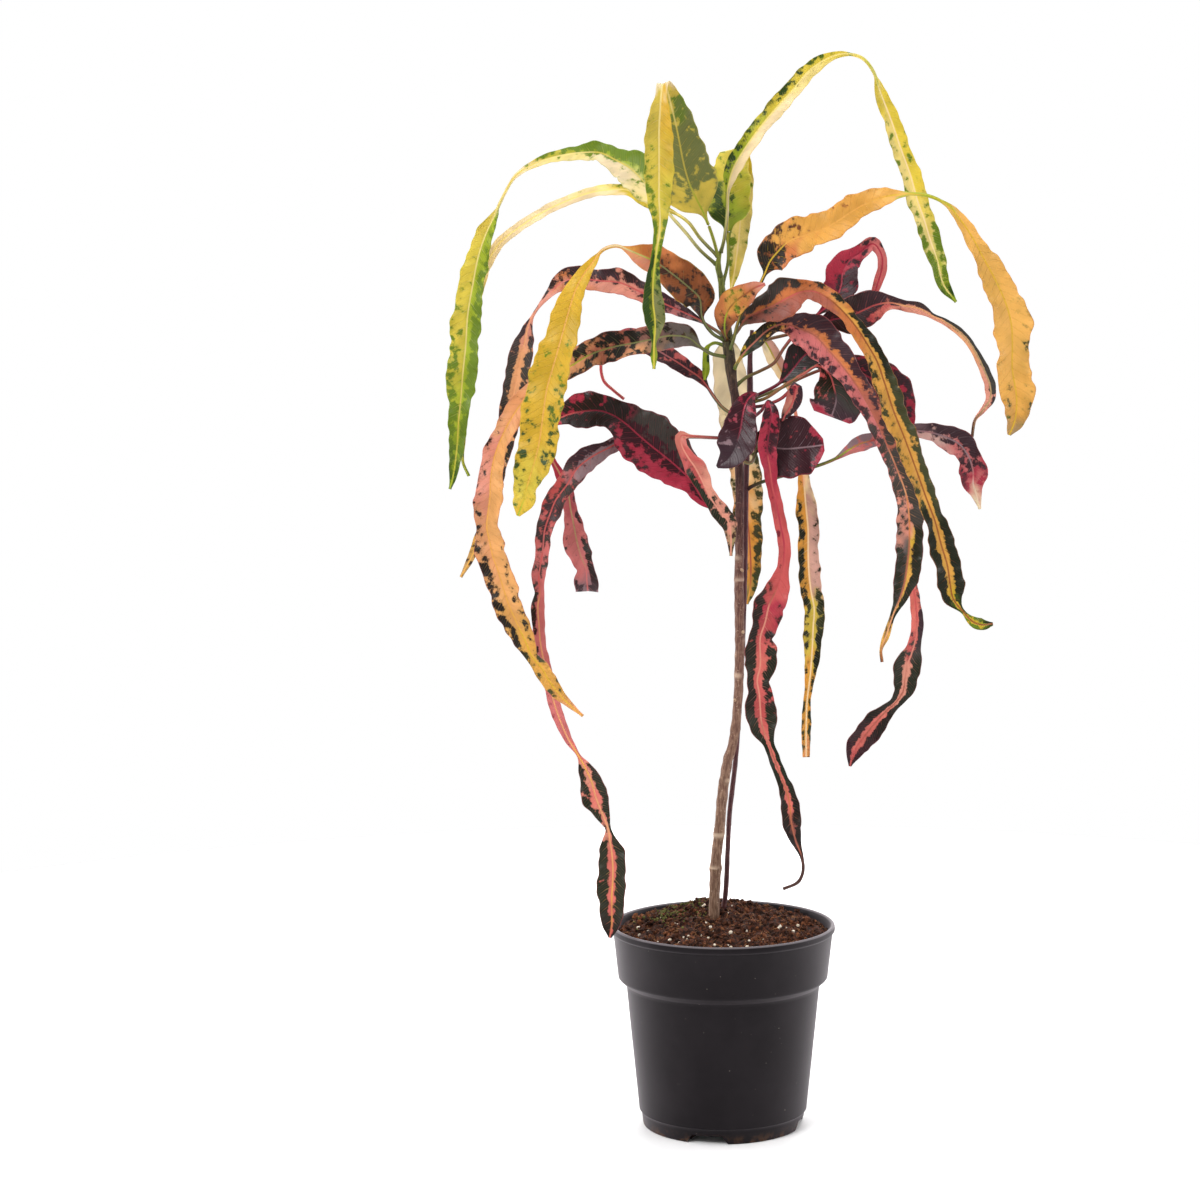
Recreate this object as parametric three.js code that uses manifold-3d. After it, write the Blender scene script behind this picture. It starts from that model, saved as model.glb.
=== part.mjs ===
// A potted croton: a black nursery pot, potting mix, two woody stems and the curled, waved leaves
// they carry.
// Millimetres, +Z up. The origin is the middle of the pot's foot, on the surface the pot stands on.
import * as THREE from "three";
import { mergeVertices } from "three/addons/utils/BufferGeometryUtils.js";
import Module from "manifold-3d";

const wasm = await Module();
wasm.setup();

// ---------------------------------------------------------------- driving dimensions, mm

const RIM_RADIUS = 85;
const POT_HEIGHT = 154;
const LIP_HEIGHT = 5;
const COLLAR_BOTTOM = 113;
const FOOT_RADIUS = 61;
const WALL = 2;
const FOOT_WIDTH = 9;
const PLATE_UNDER = 5;
const PLATE_TOP = 7.4;
const POT_SIDES = 48;
const NOTCH_COUNT = 4;
const NOTCH_TURN = -11.5; // degrees from the front, left of centre
const NOTCH_WIDTH = 31;
const NOTCH_TOP_WIDTH = 23;
const NOTCH_HEIGHT = 6.6;
const DRAIN_COUNT = 6;
const DRAIN_RADIUS = 4.5;
const DRAIN_CIRCLE = 32;
const FIT_GAP = 0.3; // between neighbouring pieces

const SOIL_EDGE = 148; // height of the mix at the wall
const SOIL_CROWN = 10; // how far it mounds up in the middle
const SOIL_HEAP = { x: -4, y: 36, width: 34, depth: 22, height: 8 }; // the heap behind the stems
const SOIL_LUMP = 2.2;
const SOIL_SIDES = 36;
const SOIL_RINGS = 9;
const STEM_DEPTH = 70; // how far the stems reach down into the mix

const PETIOLE_WIDTH = 2.4;
const PETIOLE_HEIGHT = 2.2;
const PETIOLE_SIDE = 1.0;
const RIB_HEIGHT = 1.5;
const EDGE_HEIGHT = 0.75;
const FULL_BLADE = 8; // a blade this wide has its full fold and its thin edges
const RING_STEP = 13;

// ---------------------------------------------------------------- the view that the leaves are laid out in

// Leaves and stems are laid out as they are seen from the front. A station is
// [column, row, depth, width, roll]: column and row in a 1200 by 1200 frame, depth in mm behind the
// stems' plane, width the mm the blade shows, and roll in degrees, where 0 turns the upper face to the
// front, 90 the edge and 180 the underside.
const VIEW = { focal: 2680, column: 723, row: 600, distance: 2000, height: 594, pitch: 5.54 };

const pitch = THREE.MathUtils.degToRad(VIEW.pitch);
const EYE = new THREE.Vector3(0, -VIEW.distance, VIEW.height);

function seen(column, row, depth) {
  const right = (column - VIEW.column) / VIEW.focal;
  const down = (row - VIEW.row) / VIEW.focal;
  const ray = new THREE.Vector3(
    right,
    Math.cos(pitch) - down * Math.sin(pitch),
    -Math.sin(pitch) - down * Math.cos(pitch),
  );
  return ray.multiplyScalar((depth + VIEW.distance) / ray.y).add(EYE);
}

// ---------------------------------------------------------------- stems: [column, row, depth, thickness]

const TRUNK = [
  [714, 905, 0, 8.4], [716, 863, 0, 8.2], [720, 824, 0, 8], [722, 798, 0, 7.8],
  [728, 760, 0, 7.6], [733.5, 740, 0, 7.2], [738, 700, 0, 6.8], [739.5, 660, 0, 6.8],
  [739.5, 620, 0, 7.2], [739, 580, 0, 6.8], [739.5, 540, 0, 6.6], [739.5, 480, 0, 6.6],
  [737, 411, 0, 6.6], [733, 385, 0, 6.8], [730, 363, 0, 8.4], [727, 335, 0, 8.2],
  [723, 300, 0, 5.6], [721, 280, 0, 4.8], [718, 266, 0, 4.2], [720, 252, 0, 3],
];
const SECOND_STEM = [
  [724, 905, 13, 4], [725.8, 890, 13, 4], [727.7, 851, 13, 3.8], [729.6, 813, 13, 3.8],
  [734, 775, 12, 3.8], [736, 755, 12, 3.8], [742, 660, 12, 3.8], [745, 560, 12, 4],
  [746, 480, 12, 4.2], [750, 395, 10, 4.6], [750, 358, 10, 3.8], [752, 330, 10, 2.8],
];
const STEM_SIDES = 8;
const STEM_STEP = 20;

// ---------------------------------------------------------------- leaves

// swing: how much further back the tip lies than its station says; those before it move in proportion
// fold: how far the two halves of the blade rise from the midrib, in degrees
// wave, length: how far the edge waves up and down, and the length of one wave, in mm
const LEAVES = [
  {
    name: "leaf_left_arch", stem: "trunk", swing: 30, roll: 22,
    fold: 14, wave: 2.2, length: 44, across: 3,
    stations: [
      [713, 264, -1, 0], [700, 250, 2, 0], [686, 233, 8, 0], [671, 216, 13, 0], [662, 205, 17, 9],
      [648, 187, 25, 31], [632, 170, 32, 27], [615, 160, 39, 18], [600, 153, 47, 15],
      [580, 153, 53, 11], [560, 156, 60, 9], [545, 160, 65, 7], [530, 166, 68, 5],
      [515, 177, 72, 3], [500, 203, 76, 0], [494, 217, 77, 7], [487, 232, 78, 13],
      [479, 255, 80, 17], [473, 285, 82, 20], [468, 315, 83, 22], [466, 345, 84, 23],
      [463, 375, 85, 23], [461, 400, 85, 20], [459, 420, 85, 14], [457, 450, 85, 12],
      [453, 478, 85, 5], [450, 489, 85, 1.5],
    ],
  },
  {
    name: "leaf_left_arch_back", stem: "trunk", swing: 30, roll: 22,
    fold: 10, wave: 1, length: 40, across: 3,
    stations: [
      [713, 256, 2, 0], [700, 238, 8, 0], [688, 222, 16, 0], [668, 210, 30, 4], [648, 204, 40, 7],
      [630, 191, 50, 8.5], [610, 190, 57, 8.5], [590, 193, 63, 7.5], [560, 204, 73, 7.5],
      [540, 214, 79, 7.5], [520, 227, 84, 7.5], [500, 243, 88, 7.5], [488, 262, 91, 9],
      [478, 290, 92, 9], [468, 340, 92.5, 9], [464, 400, 92.5, 7.5], [463, 440, 92, 4],
      [463, 462, 91, 2], [469, 476, 90, 1.5],
    ],
  },
  {
    name: "leaf_crown_fold", stem: "trunk", swing: -20, roll: 0,
    fold: 16, wave: 1.6, length: 44, across: 5,
    stations: [
      [720, 277, -5, 0], [719, 262, -6.5, 0], [713, 238, -8, 0], [704, 214, -9, 4, 180],
      [697, 200, -10, 36, 180], [690, 185, -13, 42, 180], [684, 165, -17, 38, 180],
      [680, 145, -21, 33, 180], [676, 125, -25, 27, 180], [671, 105, -29, 21, 180],
      [667, 90, -34, 12, 180], [663, 84, -40, 9, null], [661, 96, -46, 8, 0],
      [660, 110, -47, 14, 0], [659, 130, -48, 19, 0], [659, 150, -48, 21, 0],
      [659, 175, -48, 21, 0], [659, 200, -48, 17, 0], [660, 222, -48, 11, 0], [658, 242, -48, 7, 0],
      [655, 262, -48, 7, 0], [653, 283, -48, 11, 0], [653, 302, -48, 15, 0],
      [655, 320, -49, 15.5, 0], [655, 332, -49, 9, 0], [654, 344, -49, 2.6, 0],
      [654, 355, -49, 5.5, 0], [654, 369, -49, 1.5, 0],
    ],
  },
  {
    name: "leaf_right_arch", stem: "trunk", swing: 45, roll: -22,
    fold: 12, wave: 1.6, length: 44, across: 3,
    stations: [
      [720, 254, -2, 0], [724, 240, -4, 0], [727, 215, -5, 0], [728, 190, -5, 3],
      [733, 170, -5, 13.5], [743, 152, -5, 12], [760, 128, -4, 13], [775, 110, -3, 13],
      [793, 90, -1, 13], [808, 72, 1, 11.5], [825, 60, 3, 8], [843, 54, 4, 4], [862, 58, 5, 0],
      [873, 71, 5, 0], [880, 92, 6, 9], [890, 118, 7, 12], [901, 150, 8, 13.5], [910, 175, 9, 14.5],
      [917, 200, 10, 15.5], [924, 220, 11, 15], [930, 240, 11, 14.5], [937, 260, 12, 13],
      [943, 284, 12, 9.5], [956, 302, 12, 1.5],
    ],
  },
  {
    name: "leaf_crown", stem: "trunk", swing: 12, roll: 0,
    fold: 18, wave: 1.6, length: 36, across: 5,
    stations: [
      [728, 285, 5, 0], [728, 262, 10, 0], [728, 240, 14, 3], [728, 225, 16, 8, 180],
      [728, 212, 18, 30, 180], [729, 190, 21, 33, 180], [732, 165, 25, 27, 180],
      [735, 149, 31, 20, null], [740, 162, 37, 17, 0], [742, 185, 39, 17, 0], [741, 215, 40, 16, 0],
      [738, 245, 40, 13.5, 0], [735, 268, 39, 9, 0], [731, 290, 38, 1.5, 0],
    ],
  },
  {
    name: "leaf_right_amber", stem: "trunk", swing: -32, roll: -22,
    fold: 14, wave: 2.4, length: 42, across: 5,
    stations: [
      [731, 350, -5, 0], [734, 338, -8, 0], [737, 326, -11, 0], [742, 312, -14, 0],
      [757, 290, -20, 0], [765, 274, -24, 2], [770, 262, -27, 18], [778, 252, -31, 27],
      [790, 241, -36, 27], [810, 234, -42, 24], [830, 226, -49, 22], [850, 213, -54, 19],
      [870, 202, -60, 17], [885, 197, -64, 13], [897, 195, -67, 6], [925, 195, -71, 0],
      [946, 204, -74, 3], [958, 217, -77, 7], [970, 234, -79, 10], [982, 256, -80, 14],
      [995, 280, -82, 19.5], [1006, 305, -84, 23], [1011, 325, -85, 26], [1012, 345, -85, 23],
      [1012, 370, -85, 22.5], [1016, 395, -85, 23.5], [1016, 410, -85, 20], [1014, 422, -85, 13],
      [1009, 435, -85, 2],
    ],
  },
  {
    name: "leaf_left_yellow", stem: "trunk", swing: -28, roll: 20,
    fold: 15, wave: 2.2, length: 46, across: 5,
    stations: [
      [722, 342, -6, 0], [712, 333, -9, 0], [702, 318, -12, 2], [699, 298, -14, 25],
      [688, 287, -16, 26], [672, 274, -19, 26], [655, 262, -22, 23], [642, 256, -24, 17],
      [630, 251, -25, 7], [616, 246, -27, 0], [603, 250, -28, 0], [594, 261, -30, 6],
      [583, 276, -32, 10.5], [575, 292, -34, 16], [568, 315, -36, 20], [561, 340, -39, 23.5],
      [554, 365, -42, 26.5], [547, 390, -44, 28], [543, 418, -47, 28.5], [539, 445, -49, 27.5],
      [533, 468, -50, 25.5], [528, 484, -51, 18], [524, 500, -52, 17], [518, 516, -52, 2],
    ],
  },
  {
    name: "leaf_left_salmon", stem: "trunk", swing: -18, roll: 20,
    fold: 14, wave: 2, length: 44, across: 3,
    stations: [
      [727, 358, -5, 0], [712, 354, -7, 0], [700, 347, -8, 2], [688, 338, -9, 16],
      [670, 336, -10, 19], [650, 340, -12, 19.5], [630, 344, -13, 20], [610, 348, -15, 21],
      [590, 355, -16, 20], [573, 365, -17, 19.5], [550, 378, -19, 16], [530, 393, -21, 12],
      [517, 410, -22, 15], [508, 425, -23, 15], [500, 442, -24, 15], [494, 460, -25, 16.5],
      [491, 480, -27, 18], [490, 500, -29, 21], [488, 515, -30, 19], [487, 527, -31, 15],
      [490, 542, -32, 22], [493, 556, -34, 20.5], [498, 570, -36, 22], [503, 586, -38, 21],
      [508, 602, -40, 19.5], [518, 625, -42, 19.5], [526, 642, -43, 15], [532, 656, -44, 8],
      [542, 668, -45, 12], [549, 680, -46, 12.5], [557, 691, -47, 9], [566, 701, -48, 5.5],
      [583, 716, -49, 1.5],
    ],
  },
  {
    name: "leaf_left_rose", stem: "trunk", swing: 50, roll: 20,
    fold: 12, wave: 1.4, length: 40, across: 3,
    stations: [
      [726, 336, 2, 0], [712, 328, 5, 0], [697, 319, 7, 4], [680, 311, 8, 10], [660, 302, 8, 13.5],
      [640, 292, 8, 15], [620, 283, 7, 19.5], [600, 281, 6, 15.5], [580, 279, 5, 18],
      [565, 281, 4, 16], [552, 291, 2, 7], [534, 314, 0, 1.5], [528, 328, -1, 7.5],
      [525, 342, -1, 15], [521, 360, -2, 18], [517, 380, -2, 18], [513, 400, -3, 16.5],
      [508, 430, -4, 15], [500, 465, -5, 12], [492, 500, -6, 10.5], [484, 525, -7, 7.5],
      [472, 556, -8, 6], [461, 577, -8, 1.5],
    ],
  },
  {
    name: "leaf_left_long", stem: "second", swing: 0, roll: 18,
    fold: 13, wave: 1.8, length: 38, across: 3,
    stations: [
      [748, 438, 15, 0], [720, 438, 17, 0], [690, 437, 17, 0], [660, 439, 16, 0], [635, 440, 13, 2],
      [622, 442, 11, 9], [607, 449, 8, 12], [592, 457, 6, 16.5], [577, 469, 2, 18],
      [567, 485, -1, 15], [556, 500, -4, 15], [551, 512, -5, 15], [545, 530, -7, 12],
      [543, 550, -8, 10.5], [539, 578, -11, 10], [540, 592, -13, 7], [538, 607, -14, 10],
      [539, 622, -16, 9.5], [541, 645, -19, 8.5], [548, 678, -25, 8.5], [555, 705, -30, 8.5],
      [561, 722, -33, 8], [569, 740, -36, 6], [579, 756, -40, 2], [586, 769, -42, 12],
      [592, 782, -44, 17], [596, 797, -46, 19], [601, 810, -48, 14], [606, 822, -50, 7],
      [608.5, 829, -51, 3.5], [610, 840, -52, 11.5], [612, 852, -54, 18], [613, 865, -56, 20.5],
      [613, 880, -58, 21], [612, 897, -60, 19.5], [612, 910, -62, 18], [612, 924, -64, 14],
      [610, 938, -66, 2],
    ],
  },
  {
    name: "leaf_left_dark", stem: "trunk", swing: 40, roll: 15,
    fold: 16, wave: 1.8, length: 38, across: 5,
    stations: [
      [734, 521, 0, 0], [722, 514, 0, 0], [712, 508, 0, 2], [703, 500, 0, 10.5], [690, 480, -1, 23],
      [678, 468, -1, 33], [665, 457, -2, 40], [651, 446, -3, 43], [638, 435, -4, 40],
      [627, 425, -5, 33], [614, 416, -5, 22], [600, 411, -6, 24], [588, 411, -7, 28],
      [575, 413, -8, 24], [565, 416, -9, 15], [554, 422, -11, 7.5], [548, 440, -12, 4],
      [553, 460, -13, 4], [560, 474, -14, 7.5], [568, 491, -15, 9], [571, 510, -15, 10.5],
      [574, 525, -15, 14], [577, 541, -16, 19], [581, 556, -16, 18], [586, 568, -16, 12],
      [587, 580, -16, 18], [588, 591, -16, 18],
    ],
  },
  {
    name: "leaf_left_small", stem: "trunk", swing: -18, roll: 10,
    fold: 14, wave: 1.2, length: 34, across: 3,
    stations: [
      [733, 440, -5, 0], [720, 438, -7, 0], [703, 437, -8, 0], [688, 436, -9, 3],
      [681, 436, -10, 8], [682, 446, -11, 8], [688, 457, -12, 10], [695, 467, -13, 16],
      [702, 480, -14, 13.5], [707, 491, -14, 10.5], [714, 503, -14, 11.5], [722, 513, -14, 13],
      [729, 523, -14, 12.5], [731, 536, -14, 7.5], [731, 556, -14, 1.5],
    ],
  },
  {
    name: "leaf_left_curl", stem: "trunk", swing: 30, roll: 20,
    fold: 12, wave: 1.2, length: 36, across: 3,
    stations: [
      [731, 416, 2, 0], [722, 407, 4, 0], [714, 397, 6, 0], [708, 388, 7, 2], [700, 378, 8, 8.5],
      [690, 371, 8, 10.5], [675, 361, 8, 13], [660, 352, 8, 15], [645, 342, 8, 15],
      [630, 335, 8, 10.5], [618, 337, 8, 6], [606, 350, 7, 2], [601, 366, 6, 1.6],
      [604, 381, 5, 1.6], [613, 390, 4, 1.6], [624, 399, 4, 1.4],
    ],
  },
  {
    name: "leaf_right_orange", stem: "trunk", swing: -30, roll: -20,
    fold: 13, wave: 2.4, length: 38, across: 5,
    stations: [
      [730, 340, -5, 0], [739, 329, -9, 0], [746, 319, -12, 9], [757, 313, -14, 16],
      [775, 305, -17, 26], [788, 298, -19, 28], [802, 292, -21, 18], [815, 292, -23, 15],
      [830, 300, -25, 13], [845, 314, -27, 11.5], [858, 330, -28, 12], [868, 346, -29, 13],
      [877, 362, -30, 15], [884, 382, -31, 16.5], [893, 410, -32, 18], [905, 440, -33, 17],
      [916, 470, -34, 15.5], [926, 498, -35, 13.5], [935, 522, -36, 15], [941, 545, -36, 18],
      [947, 565, -37, 19.5], [950, 585, -37, 19], [953, 599, -37, 13], [964, 613, -38, 2.5],
      [973, 622, -38, 8], [982, 625, -38, 8], [993, 624, -38, 1.5],
    ],
  },
  {
    name: "leaf_right_spotted", stem: "trunk", swing: -6, roll: -16,
    fold: 14, wave: 2, length: 42, across: 5,
    stations: [
      [733, 370, -4, 0], [738, 362, -5, 0], [745, 352, -6, 6], [755, 342, -7, 11],
      [767, 331, -8, 11], [779, 325, -9, 10.5], [789, 325, -10, 14], [800, 329, -10, 24],
      [815, 336, -11, 30], [828, 350, -12, 26], [842, 366, -13, 21], [856, 385, -14, 18],
      [868, 405, -15, 16.5], [878, 425, -16, 15], [888, 448, -17, 14], [897, 470, -17, 15],
      [906, 495, -18, 16.5], [909, 520, -19, 19.5], [909, 545, -19, 20], [907, 565, -20, 19.5],
      [904, 584, -20, 16], [899, 600, -20, 10], [892, 617, -20, 3.5], [886, 636, -20, 5],
      [881, 650, -20, 2], [882, 662, -20, 1.4],
    ],
  },
  {
    name: "leaf_right_crimson", stem: "trunk", swing: 40, roll: -15,
    fold: 12, wave: 1.2, length: 30, across: 3,
    stations: [
      [736, 386, 1, 0], [747, 377, 3, 0], [760, 371, 5, 0], [774, 363, 11, 0], [784, 348, 19, 0],
      [797, 332, 25, 0], [818, 314, 27, 2], [834, 301, 28, 15], [841, 287, 29, 25],
      [843, 272, 29, 24], [850, 260, 30, 18], [861, 252, 31, 11], [873, 244, 31, 10],
      [881, 254, 30, 7], [882, 266, 29, 7.5], [878, 282, 29, 7], [874, 294, 29, 5],
      [871, 303, 29, 2],
    ],
  },
  {
    name: "leaf_right_far", stem: "second", swing: 32, roll: -15,
    fold: 10, wave: 1.4, length: 34, across: 5,
    stations: [
      [752, 345, 12, 0], [765, 340, 14, 0], [790, 334, 15, 0], [812, 328, 14, 2],
      [832, 320, 13, 15], [848, 317, 12, 26], [862, 311, 11, 28], [876, 305, 10, 21],
      [890, 303, 9, 11], [905, 306, 8, 8], [920, 309, 8, 9], [932, 316, 8, 4], [945, 322, 8, 5],
      [957, 330, 8, 6], [968, 341, 8, 5.5], [977, 355, 8, 6], [984, 370, 8, 7.5],
      [990, 386, 8, 8.5], [990, 399, 8, 7], [982, 411, 8, 4], [975, 420, 8, 2], [972, 437, 8, 1.4],
    ],
  },
  {
    name: "leaf_right_point", stem: "second", swing: 0, roll: -10,
    fold: 10, wave: 0.8, length: 30, across: 3,
    stations: [
      [752, 398, 7, 0], [764, 392, 5, 0], [777, 385, 4, 0], [785, 378, 3, 8], [794, 368, 3, 19],
      [803, 357, 2, 24], [812, 350, 2, 21], [824, 343, 2, 6],
    ],
  },
  {
    name: "leaf_right_heart", stem: "second", swing: 0, roll: -8,
    fold: 12, wave: 1.2, length: 34, across: 5,
    stations: [
      [753, 403, 6, 0], [766, 398, 2, 0], [784, 386, -2, 0], [803, 374, -5, 0], [818, 366, -6, 3],
      [829, 374, -7, 20], [834, 388, -8, 31], [836, 400, -8, 38], [834, 409, -8, 40],
      [831, 417, -8, 27],
    ],
  },
  {
    name: "leaf_right_bud", stem: "second", swing: 0, roll: -8,
    fold: 10, wave: 0.6, length: 30, across: 3,
    stations: [
      [753, 408, 5, 0], [766, 405, 0, 0], [782, 398, -5, 0], [796, 385, -8, 6], [795, 394, -9, 12],
      [791, 406, -11, 11], [785, 415, -13, 6], [782, 421, -14, 1.5],
    ],
  },
  {
    name: "leaf_front_fold", stem: "second", swing: -6, roll: 10,
    fold: 14, wave: 1.2, length: 34, across: 5,
    stations: [
      [750, 398, 5, 0], [757, 395, -1, 0], [754, 394, -7, 3], [747, 401, -11, 14],
      [743, 414, -13, 20], [741, 427, -14, 25], [738, 439, -15, 28.5], [734, 450, -15, 27],
      [728, 459, -16, 17], [717, 467, -16, 2],
    ],
  },
  {
    name: "leaf_front_dark", stem: "trunk", swing: -4, roll: -12,
    fold: 14, wave: 1.2, length: 32, across: 5,
    stations: [
      [741, 458, -3, 0], [747, 463, -5, 0], [752, 462, -7, 0], [757, 450, -8, 3],
      [764, 446, -9, 26], [774, 448, -9, 40], [787, 449, -8, 46], [799, 448, -8, 45],
      [809, 447, -7, 38], [817, 446, -7, 27], [824, 445, -7, 9],
    ],
  },
  {
    name: "leaf_front_long", stem: "second", swing: -20, roll: -12,
    fold: 15, wave: 1.8, length: 36, across: 3,
    stations: [
      [752, 421, 5, 0], [762, 410, -6, 0], [768, 402, -14, 3], [771, 412, -18, 11],
      [769, 430, -20, 15], [767, 450, -21, 13], [770, 470, -22, 11], [772, 486, -23, 8],
      [776, 503, -24, 9], [780, 523, -25, 9], [784, 545, -26, 9], [783, 566, -27, 9],
      [779, 583, -28, 15], [774, 594, -29, 20], [769, 605, -29, 23], [765, 622, -30, 20],
      [760, 638, -31, 17], [760, 652, -32, 24], [760, 666, -32, 24], [757, 681, -33, 15],
      [759, 693, -34, 18], [760, 707, -34, 23], [761, 720, -35, 23], [764, 732, -36, 17],
      [769, 745, -37, 7], [774, 759, -38, 9], [781, 777, -39, 8], [787, 793, -40, 12],
      [790, 808, -40, 14], [791, 821, -41, 14], [795, 839, -41, 8.5], [802, 858, -41, 2.5],
      [803, 871, -41, 1.8], [798, 882, -41, 2.6], [783, 889, -41, 1.4],
    ],
  },
  {
    name: "leaf_right_grey", stem: "second", swing: 22, roll: -15,
    fold: 12, wave: 1.6, length: 36, across: 3,
    stations: [
      [747, 489, 11, 0], [755, 485, 9, 0], [765, 481, 8, 0], [790, 474, 7, 0], [814, 467, 6, 0],
      [835, 459, 6, 2], [849, 450, 6, 8], [860, 444, 6, 12], [875, 440, 6, 10.5],
      [895, 434, 5, 10.5], [915, 431, 4, 10], [932, 433, 3, 13.5], [947, 438, 3, 19],
      [960, 445, 2, 20], [969, 458, 1, 17], [973, 472, 0, 22], [973, 484, -1, 17],
      [976, 494, -1, 8], [980, 509, -1, 1.5],
    ],
  },
  {
    name: "leaf_right_low", stem: "second", swing: 48, roll: -12,
    fold: 12, wave: 1.8, length: 38, across: 5,
    stations: [
      [752, 399, 13, 0], [781, 388, 16, 0], [803, 377, 18, 0], [828, 368, 19, 2],
      [845, 367, 19, 16], [865, 375, 19, 30], [885, 390, 18, 36], [899, 410, 17, 27],
      [906, 436, 16, 9], [909, 470, 12, 0], [911, 530, 6, 0], [913, 570, 3, 2], [913, 585, 2, 6],
      [915, 600, 1, 7.5], [917, 622, 0, 9.5], [915, 641, -1, 9], [912, 652, -1, 14],
      [908, 663, -2, 22], [905, 678, -2, 18], [903, 691, -3, 14.5], [896, 702, -3, 9],
      [886, 711, -3, 12], [875, 723, -4, 18], [866, 734, -4, 19], [857, 746, -4, 17],
      [852, 757, -4, 8.5], [850, 766, -4, 2],
    ],
  },
  {
    name: "leaf_middle_cream", stem: "second", swing: 34, roll: -14,
    fold: 12, wave: 1.6, length: 36, across: 3,
    stations: [
      [752, 336, 12, 0], [760, 336, 17, 2], [767, 345, 22, 9.5], [774, 358, 26, 12],
      [782, 373, 27, 10], [789, 387, 26, 4], [795, 410, 25, 2.4], [799, 440, 22, 4.5],
      [802, 462, 18, 6], [804, 486, 16, 10], [806, 508, 14, 16], [808, 530, 12, 15.5],
      [808, 555, 11, 15.5], [809, 575, 9, 16.5], [811, 592, 8, 16], [814, 608, 7, 15.5],
      [813, 628, 6, 15], [812, 650, 5, 13], [810, 676, 4, 8], [807, 700, 4, 5.5],
      [806, 728, 3, 7.5], [806, 757, 3, 5],
    ],
  },
  {
    name: "leaf_back_cream", stem: "trunk", swing: 18, roll: 8,
    fold: 12, wave: 1.4, length: 40, across: 5,
    stations: [
      [728, 330, 4, 0], [728, 337, 12, 0], [728, 348, 20, 19], [730, 375, 24, 25],
      [735, 410, 26, 25], [742, 450, 26, 24], [748, 490, 27, 23], [748, 520, 27, 21.5],
      [750, 545, 28, 19], [751, 572, 28, 14.5], [750, 590, 28, 9], [747, 604, 28, 1.5],
    ],
  },
  {
    name: "leaf_side_green", stem: "trunk", swing: 0, roll: 10,
    fold: 8, wave: 0.4, length: 30, across: 3,
    stations: [
      [724, 346, 4, 0], [714, 343, 8, 0], [707, 348, 10, 4], [706, 359, 11, 5], [706, 370, 11, 6],
      [705, 380, 11, 1.5],
    ],
  },
  {
    name: "leaf_front_amber", stem: "trunk", swing: -6, roll: -10,
    fold: 14, wave: 0.8, length: 30, across: 3,
    stations: [
      [727, 340, -6, 0], [725, 334, -10, 3], [725, 321, -14, 14], [728, 311, -17, 19],
      [736, 301, -21, 20], [746, 294, -24, 16], [755, 288, -26, 10], [765, 284, -27, 1.5],
    ],
  },
];

// ---------------------------------------------------------------- solids

function meshGeometry(positions, faces) {
  const geometry = new THREE.BufferGeometry();
  geometry.setAttribute("position", new THREE.Float32BufferAttribute(positions, 3));
  geometry.setIndex(faces);
  geometry.computeVertexNormals();
  return geometry;
}

// Rings of the same number of points, one behind the other, closed at both ends by a fan.
function tubeGeometry(rings) {
  const sides = rings[0].length;
  const positions = rings.flat().flatMap((p) => [p.x, p.y, p.z]);
  const faces = [];
  for (let r = 0; r + 1 < rings.length; r++) {
    for (let s = 0; s < sides; s++) {
      const a = r * sides + s;
      const b = r * sides + ((s + 1) % sides);
      faces.push(a, b, b + sides, a, b + sides, a + sides);
    }
  }
  const last = (rings.length - 1) * sides;
  for (let s = 1; s + 1 < sides; s++) {
    faces.push(0, s + 1, s);
    faces.push(last, last + s, last + s + 1);
  }
  return meshGeometry(positions, faces);
}

function toSolid(geometry) {
  const bare = geometry.clone();
  bare.deleteAttribute("normal");
  if (bare.getAttribute("uv")) bare.deleteAttribute("uv");
  const merged = mergeVertices(bare, 1e-4);
  const mesh = new wasm.Mesh({
    numProp: 3,
    vertProperties: merged.attributes.position.array,
    triVerts: new Uint32Array(merged.index.array),
  });
  return new wasm.Manifold(mesh);
}

function fromSolid(solid) {
  const mesh = solid.getMesh();
  return meshGeometry(Array.from(mesh.vertProperties), Array.from(mesh.triVerts));
}

// ---------------------------------------------------------------- curves

// A curve through the stations, with their width and side direction carried along it.
function stationCurve(stations) {
  const points = stations.map(([column, row, depth]) => seen(column, row, depth));
  return new THREE.CatmullRomCurve3(points, false, "centripetal");
}

// The parameters that cut the curve into equal lengths near the asked step.
function evenParameters(curve, count, step) {
  const SAMPLES_PER_STATION = 12;
  const samples = (count - 1) * SAMPLES_PER_STATION;
  const lengths = [0];
  let before = curve.getPoint(0);
  for (let i = 1; i <= samples; i++) {
    const here = curve.getPoint(i / samples);
    lengths.push(lengths[i - 1] + here.distanceTo(before));
    before = here;
  }
  const total = lengths[samples];
  const pieces = Math.max(2, Math.round(total / step));
  const parameters = [];
  let i = 0;
  for (let k = 0; k <= pieces; k++) {
    const wanted = (total * k) / pieces;
    while (i < samples - 1 && lengths[i + 1] < wanted) i++;
    const share = (wanted - lengths[i]) / (lengths[i + 1] - lengths[i]);
    parameters.push((i + Math.min(1, Math.max(0, share))) / samples);
  }
  return { parameters, total };
}

function between(values, t) {
  const place = t * (values.length - 1);
  const i = Math.min(Math.floor(place), values.length - 2);
  return THREE.MathUtils.lerp(values[i], values[i + 1], place - i);
}

// ---------------------------------------------------------------- stems

function stemAxis(stations) {
  const curve = stationCurve(stations);
  const { parameters } = evenParameters(curve, stations.length, STEM_STEP);
  const thickness = stations.map((station) => station[3]);
  return parameters.map((t) => ({ at: curve.getPoint(t), radius: between(thickness, t) / 2 }));
}

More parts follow.
